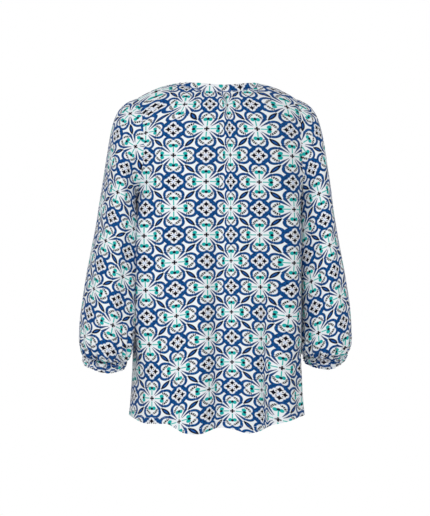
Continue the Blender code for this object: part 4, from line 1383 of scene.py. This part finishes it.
def polyester_thread():
    """Spun polyester thread, a little brighter than the cloth, with its twist as fine bump."""
    material, tree = new_material("polyester_thread")
    place = add(tree, "TexCoord", out=3)
    twist = add(tree, "TexWave", {"Vector": place, "Scale": 900.0, "Distortion": 1.0})
    shades = {0: twist, 6: linear("C9D2E2"), 7: linear("E6EAF2")}
    tone = add(tree, "Mix", shades, out=2, data_type="RGBA")
    bump = add(tree, "Bump", {"Strength": 0.3, "Distance": 0.0001, "Height": twist})
    finish = {"Base Color": tone, "Roughness": 0.55, "Normal": bump}
    add(tree, "OutputMaterial", add(tree, "BsdfPrincipled", finish))
    return material


# ------------------------------------------------------------------ studio
CAMERA_TURN = math.radians(-12)
CAMERA_DISTANCE = 3.0
CAMERA_Z = -0.354
CAMERA_ASIDE = -0.00375
FLOOR_Z = -1.30
FLOOR_RADIUS = 2.1
SOFT_LIGHT = 0.44  # light that comes from all sides of the white room


FLOOR_SIDES = 96
PICTURE_HEIGHT = 516.0  # pixels
FOCAL_LENGTH = 1441.0  # pixels
SENSOR = 36.0
LAMPS = table(
    "name right back up power width",
    ("key", -2.3, 2.3, 1.2, 28.0, 1.4),
    ("near", 0.35, 3.1, 0.5, 43.0, 2.0),
    ("far_left", -2.2, -2.4, 1.0, 26.0, 1.6),
    ("far_right", 2.6, -1.6, 1.3, 20.0, 1.6),
)


def add_studio():
    """A pale floor, soft light from the front and above, and the camera."""
    scene = bpy.context.scene
    scene.view_settings.view_transform = "Standard"
    turn = np.linspace(0, 2 * math.pi, FLOOR_SIDES, endpoint=False)
    x, y = np.cos(turn) * FLOOR_RADIUS, np.sin(turn) * FLOOR_RADIUS
    rim = np.stack([x, y, 0 * turn + FLOOR_Z], axis=-1)
    hub = np.concatenate([0 * rim + FLOOR_Z * UP, rim])
    quads = grid_faces(2, FLOOR_SIDES, FLOOR_SIDES)[:, [0, 3, 2, 1]]
    material, tree = new_material("matt_floor_paint")
    paint = add(tree, "BsdfPrincipled", {"Base Color": linear("F7F7F7"), "Roughness": 0.9})
    add(tree, "OutputMaterial", paint)
    mesh_piece("floor", hub, quads, np.zeros(FLOOR_SIDES), [material])

    world = bpy.data.worlds.new("studio")
    scene.world = world
    world.use_nodes = True
    tree = world.node_tree
    tree.nodes.clear()
    strength = add(tree, "MapRange", {0: add(tree, "LightPath"), 3: SOFT_LIGHT, 4: 1.0})
    backdrop = add(tree, "Background", {"Color": linear("FFFFFF"), "Strength": strength})
    add(tree, "OutputWorld", backdrop)

    forward = np.array([-math.sin(CAMERA_TURN), math.cos(CAMERA_TURN), 0])
    aside = np.array([math.cos(CAMERA_TURN), math.sin(CAMERA_TURN), 0])
    for lamp in LAMPS:
        light = bpy.data.lights.new(lamp.name, "AREA")
        light.energy = lamp.power
        light.shape = "DISK"
        light.size = lamp.width
        holder = bpy.data.objects.new(lamp.name, light)
        spot = aside * lamp.right - forward * lamp.back + lamp.up * UP
        holder.location = spot
        aim = CAMERA_Z * UP - spot
        pitch = math.pi / 2 + math.atan2(aim[2], math.hypot(aim[0], aim[1]))
        holder.rotation_euler = (pitch, 0, math.atan2(-aim[0], aim[1]))
        scene.collection.objects.link(holder)

    camera = bpy.data.cameras.new("camera")
    camera.sensor_width = SENSOR
    camera.lens = FOCAL_LENGTH / PICTURE_HEIGHT * SENSOR
    camera.clip_end = 200.0
    holder = bpy.data.objects.new("camera", camera)
    holder.location = -forward * CAMERA_DISTANCE + aside * CAMERA_ASIDE + CAMERA_Z * UP
    holder.rotation_euler = (math.pi / 2, 0, CAMERA_TURN)
    scene.collection.objects.link(holder)
    scene.camera = holder


# ------------------------------------------------------------------ the garment
REVERSE_FADED = 0.62  # how pale the print is on the cloth's reverse


def finish_piece(piece, node):
    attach(piece, "root")
    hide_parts(node)


def line_above(points, normals, heights, reach):
    """The line at a given distance above a panel's hem, with its normals."""
    row = np.argmax(heights > reach, axis=0)
    columns = np.arange(points.shape[1])
    low, high = heights[row - 1, columns], heights[row, columns]
    share = ((reach - low) / (high - low))[:, None]
    line = points[row - 1, columns] * (1 - share) + points[row, columns] * share
    out = unit(normals[row - 1, columns] * (1 - share) + normals[row, columns] * share)
    return line, out


def dress():
    """Adds every piece of the garment over its solid."""
    reverse = printed_viscose("printed_viscose_reverse", REVERSE_FADED)
    cloth = [printed_viscose("printed_viscose"), reverse]
    both = [cloth[0], cloth[0]]
    thread = polyester_thread()
    for name, side in (("back_panel", BACK), ("front_panel", FRONT)):
        piece, points, normals, above = add_panel(name + "_cloth", side, cloth)
        finish_piece(piece, name)
        line, out = line_above(points, normals, above, HEM_TURN)
        sewn = stitches(name + "_hem_stitches", line + out * HEM_CLOTH / 2, out, False, thread)
        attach(sewn, "root")
    for arm, hand in (("right", RIGHT), ("left", LEFT)):
        piece, width, start = add_sleeve(f"sleeve_{arm}_cloth", hand, cloth)
        finish_piece(piece, "sleeve_" + arm)
        piece, points, normals = add_cuff(f"cuff_{arm}_cloth", hand, width, start, both)
        finish_piece(piece, "cuff_" + arm)
        sewn = []
        for k, share in enumerate(ELASTIC_LINES):
            row = int(round(share * CUFF_ROWS))
            out = normals[row]
            path = points[row] + out * CUFF_CLOTH / 2
            sewn.append(stitches(f"cuff_{arm}_stitches_{k}", path, out, True, thread))
            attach(sewn[-1], "root")
    piece, points, normals = add_neckband(both)
    finish_piece(piece, "neckband")
    out = normals[1]
    path = points[1] + out * BAND_CLOTH * BAND_STITCH_LIFT
    sewn = stitches("neckband_stitches", path, out, True, thread)
    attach(sewn, "root")


dress()
add_studio()
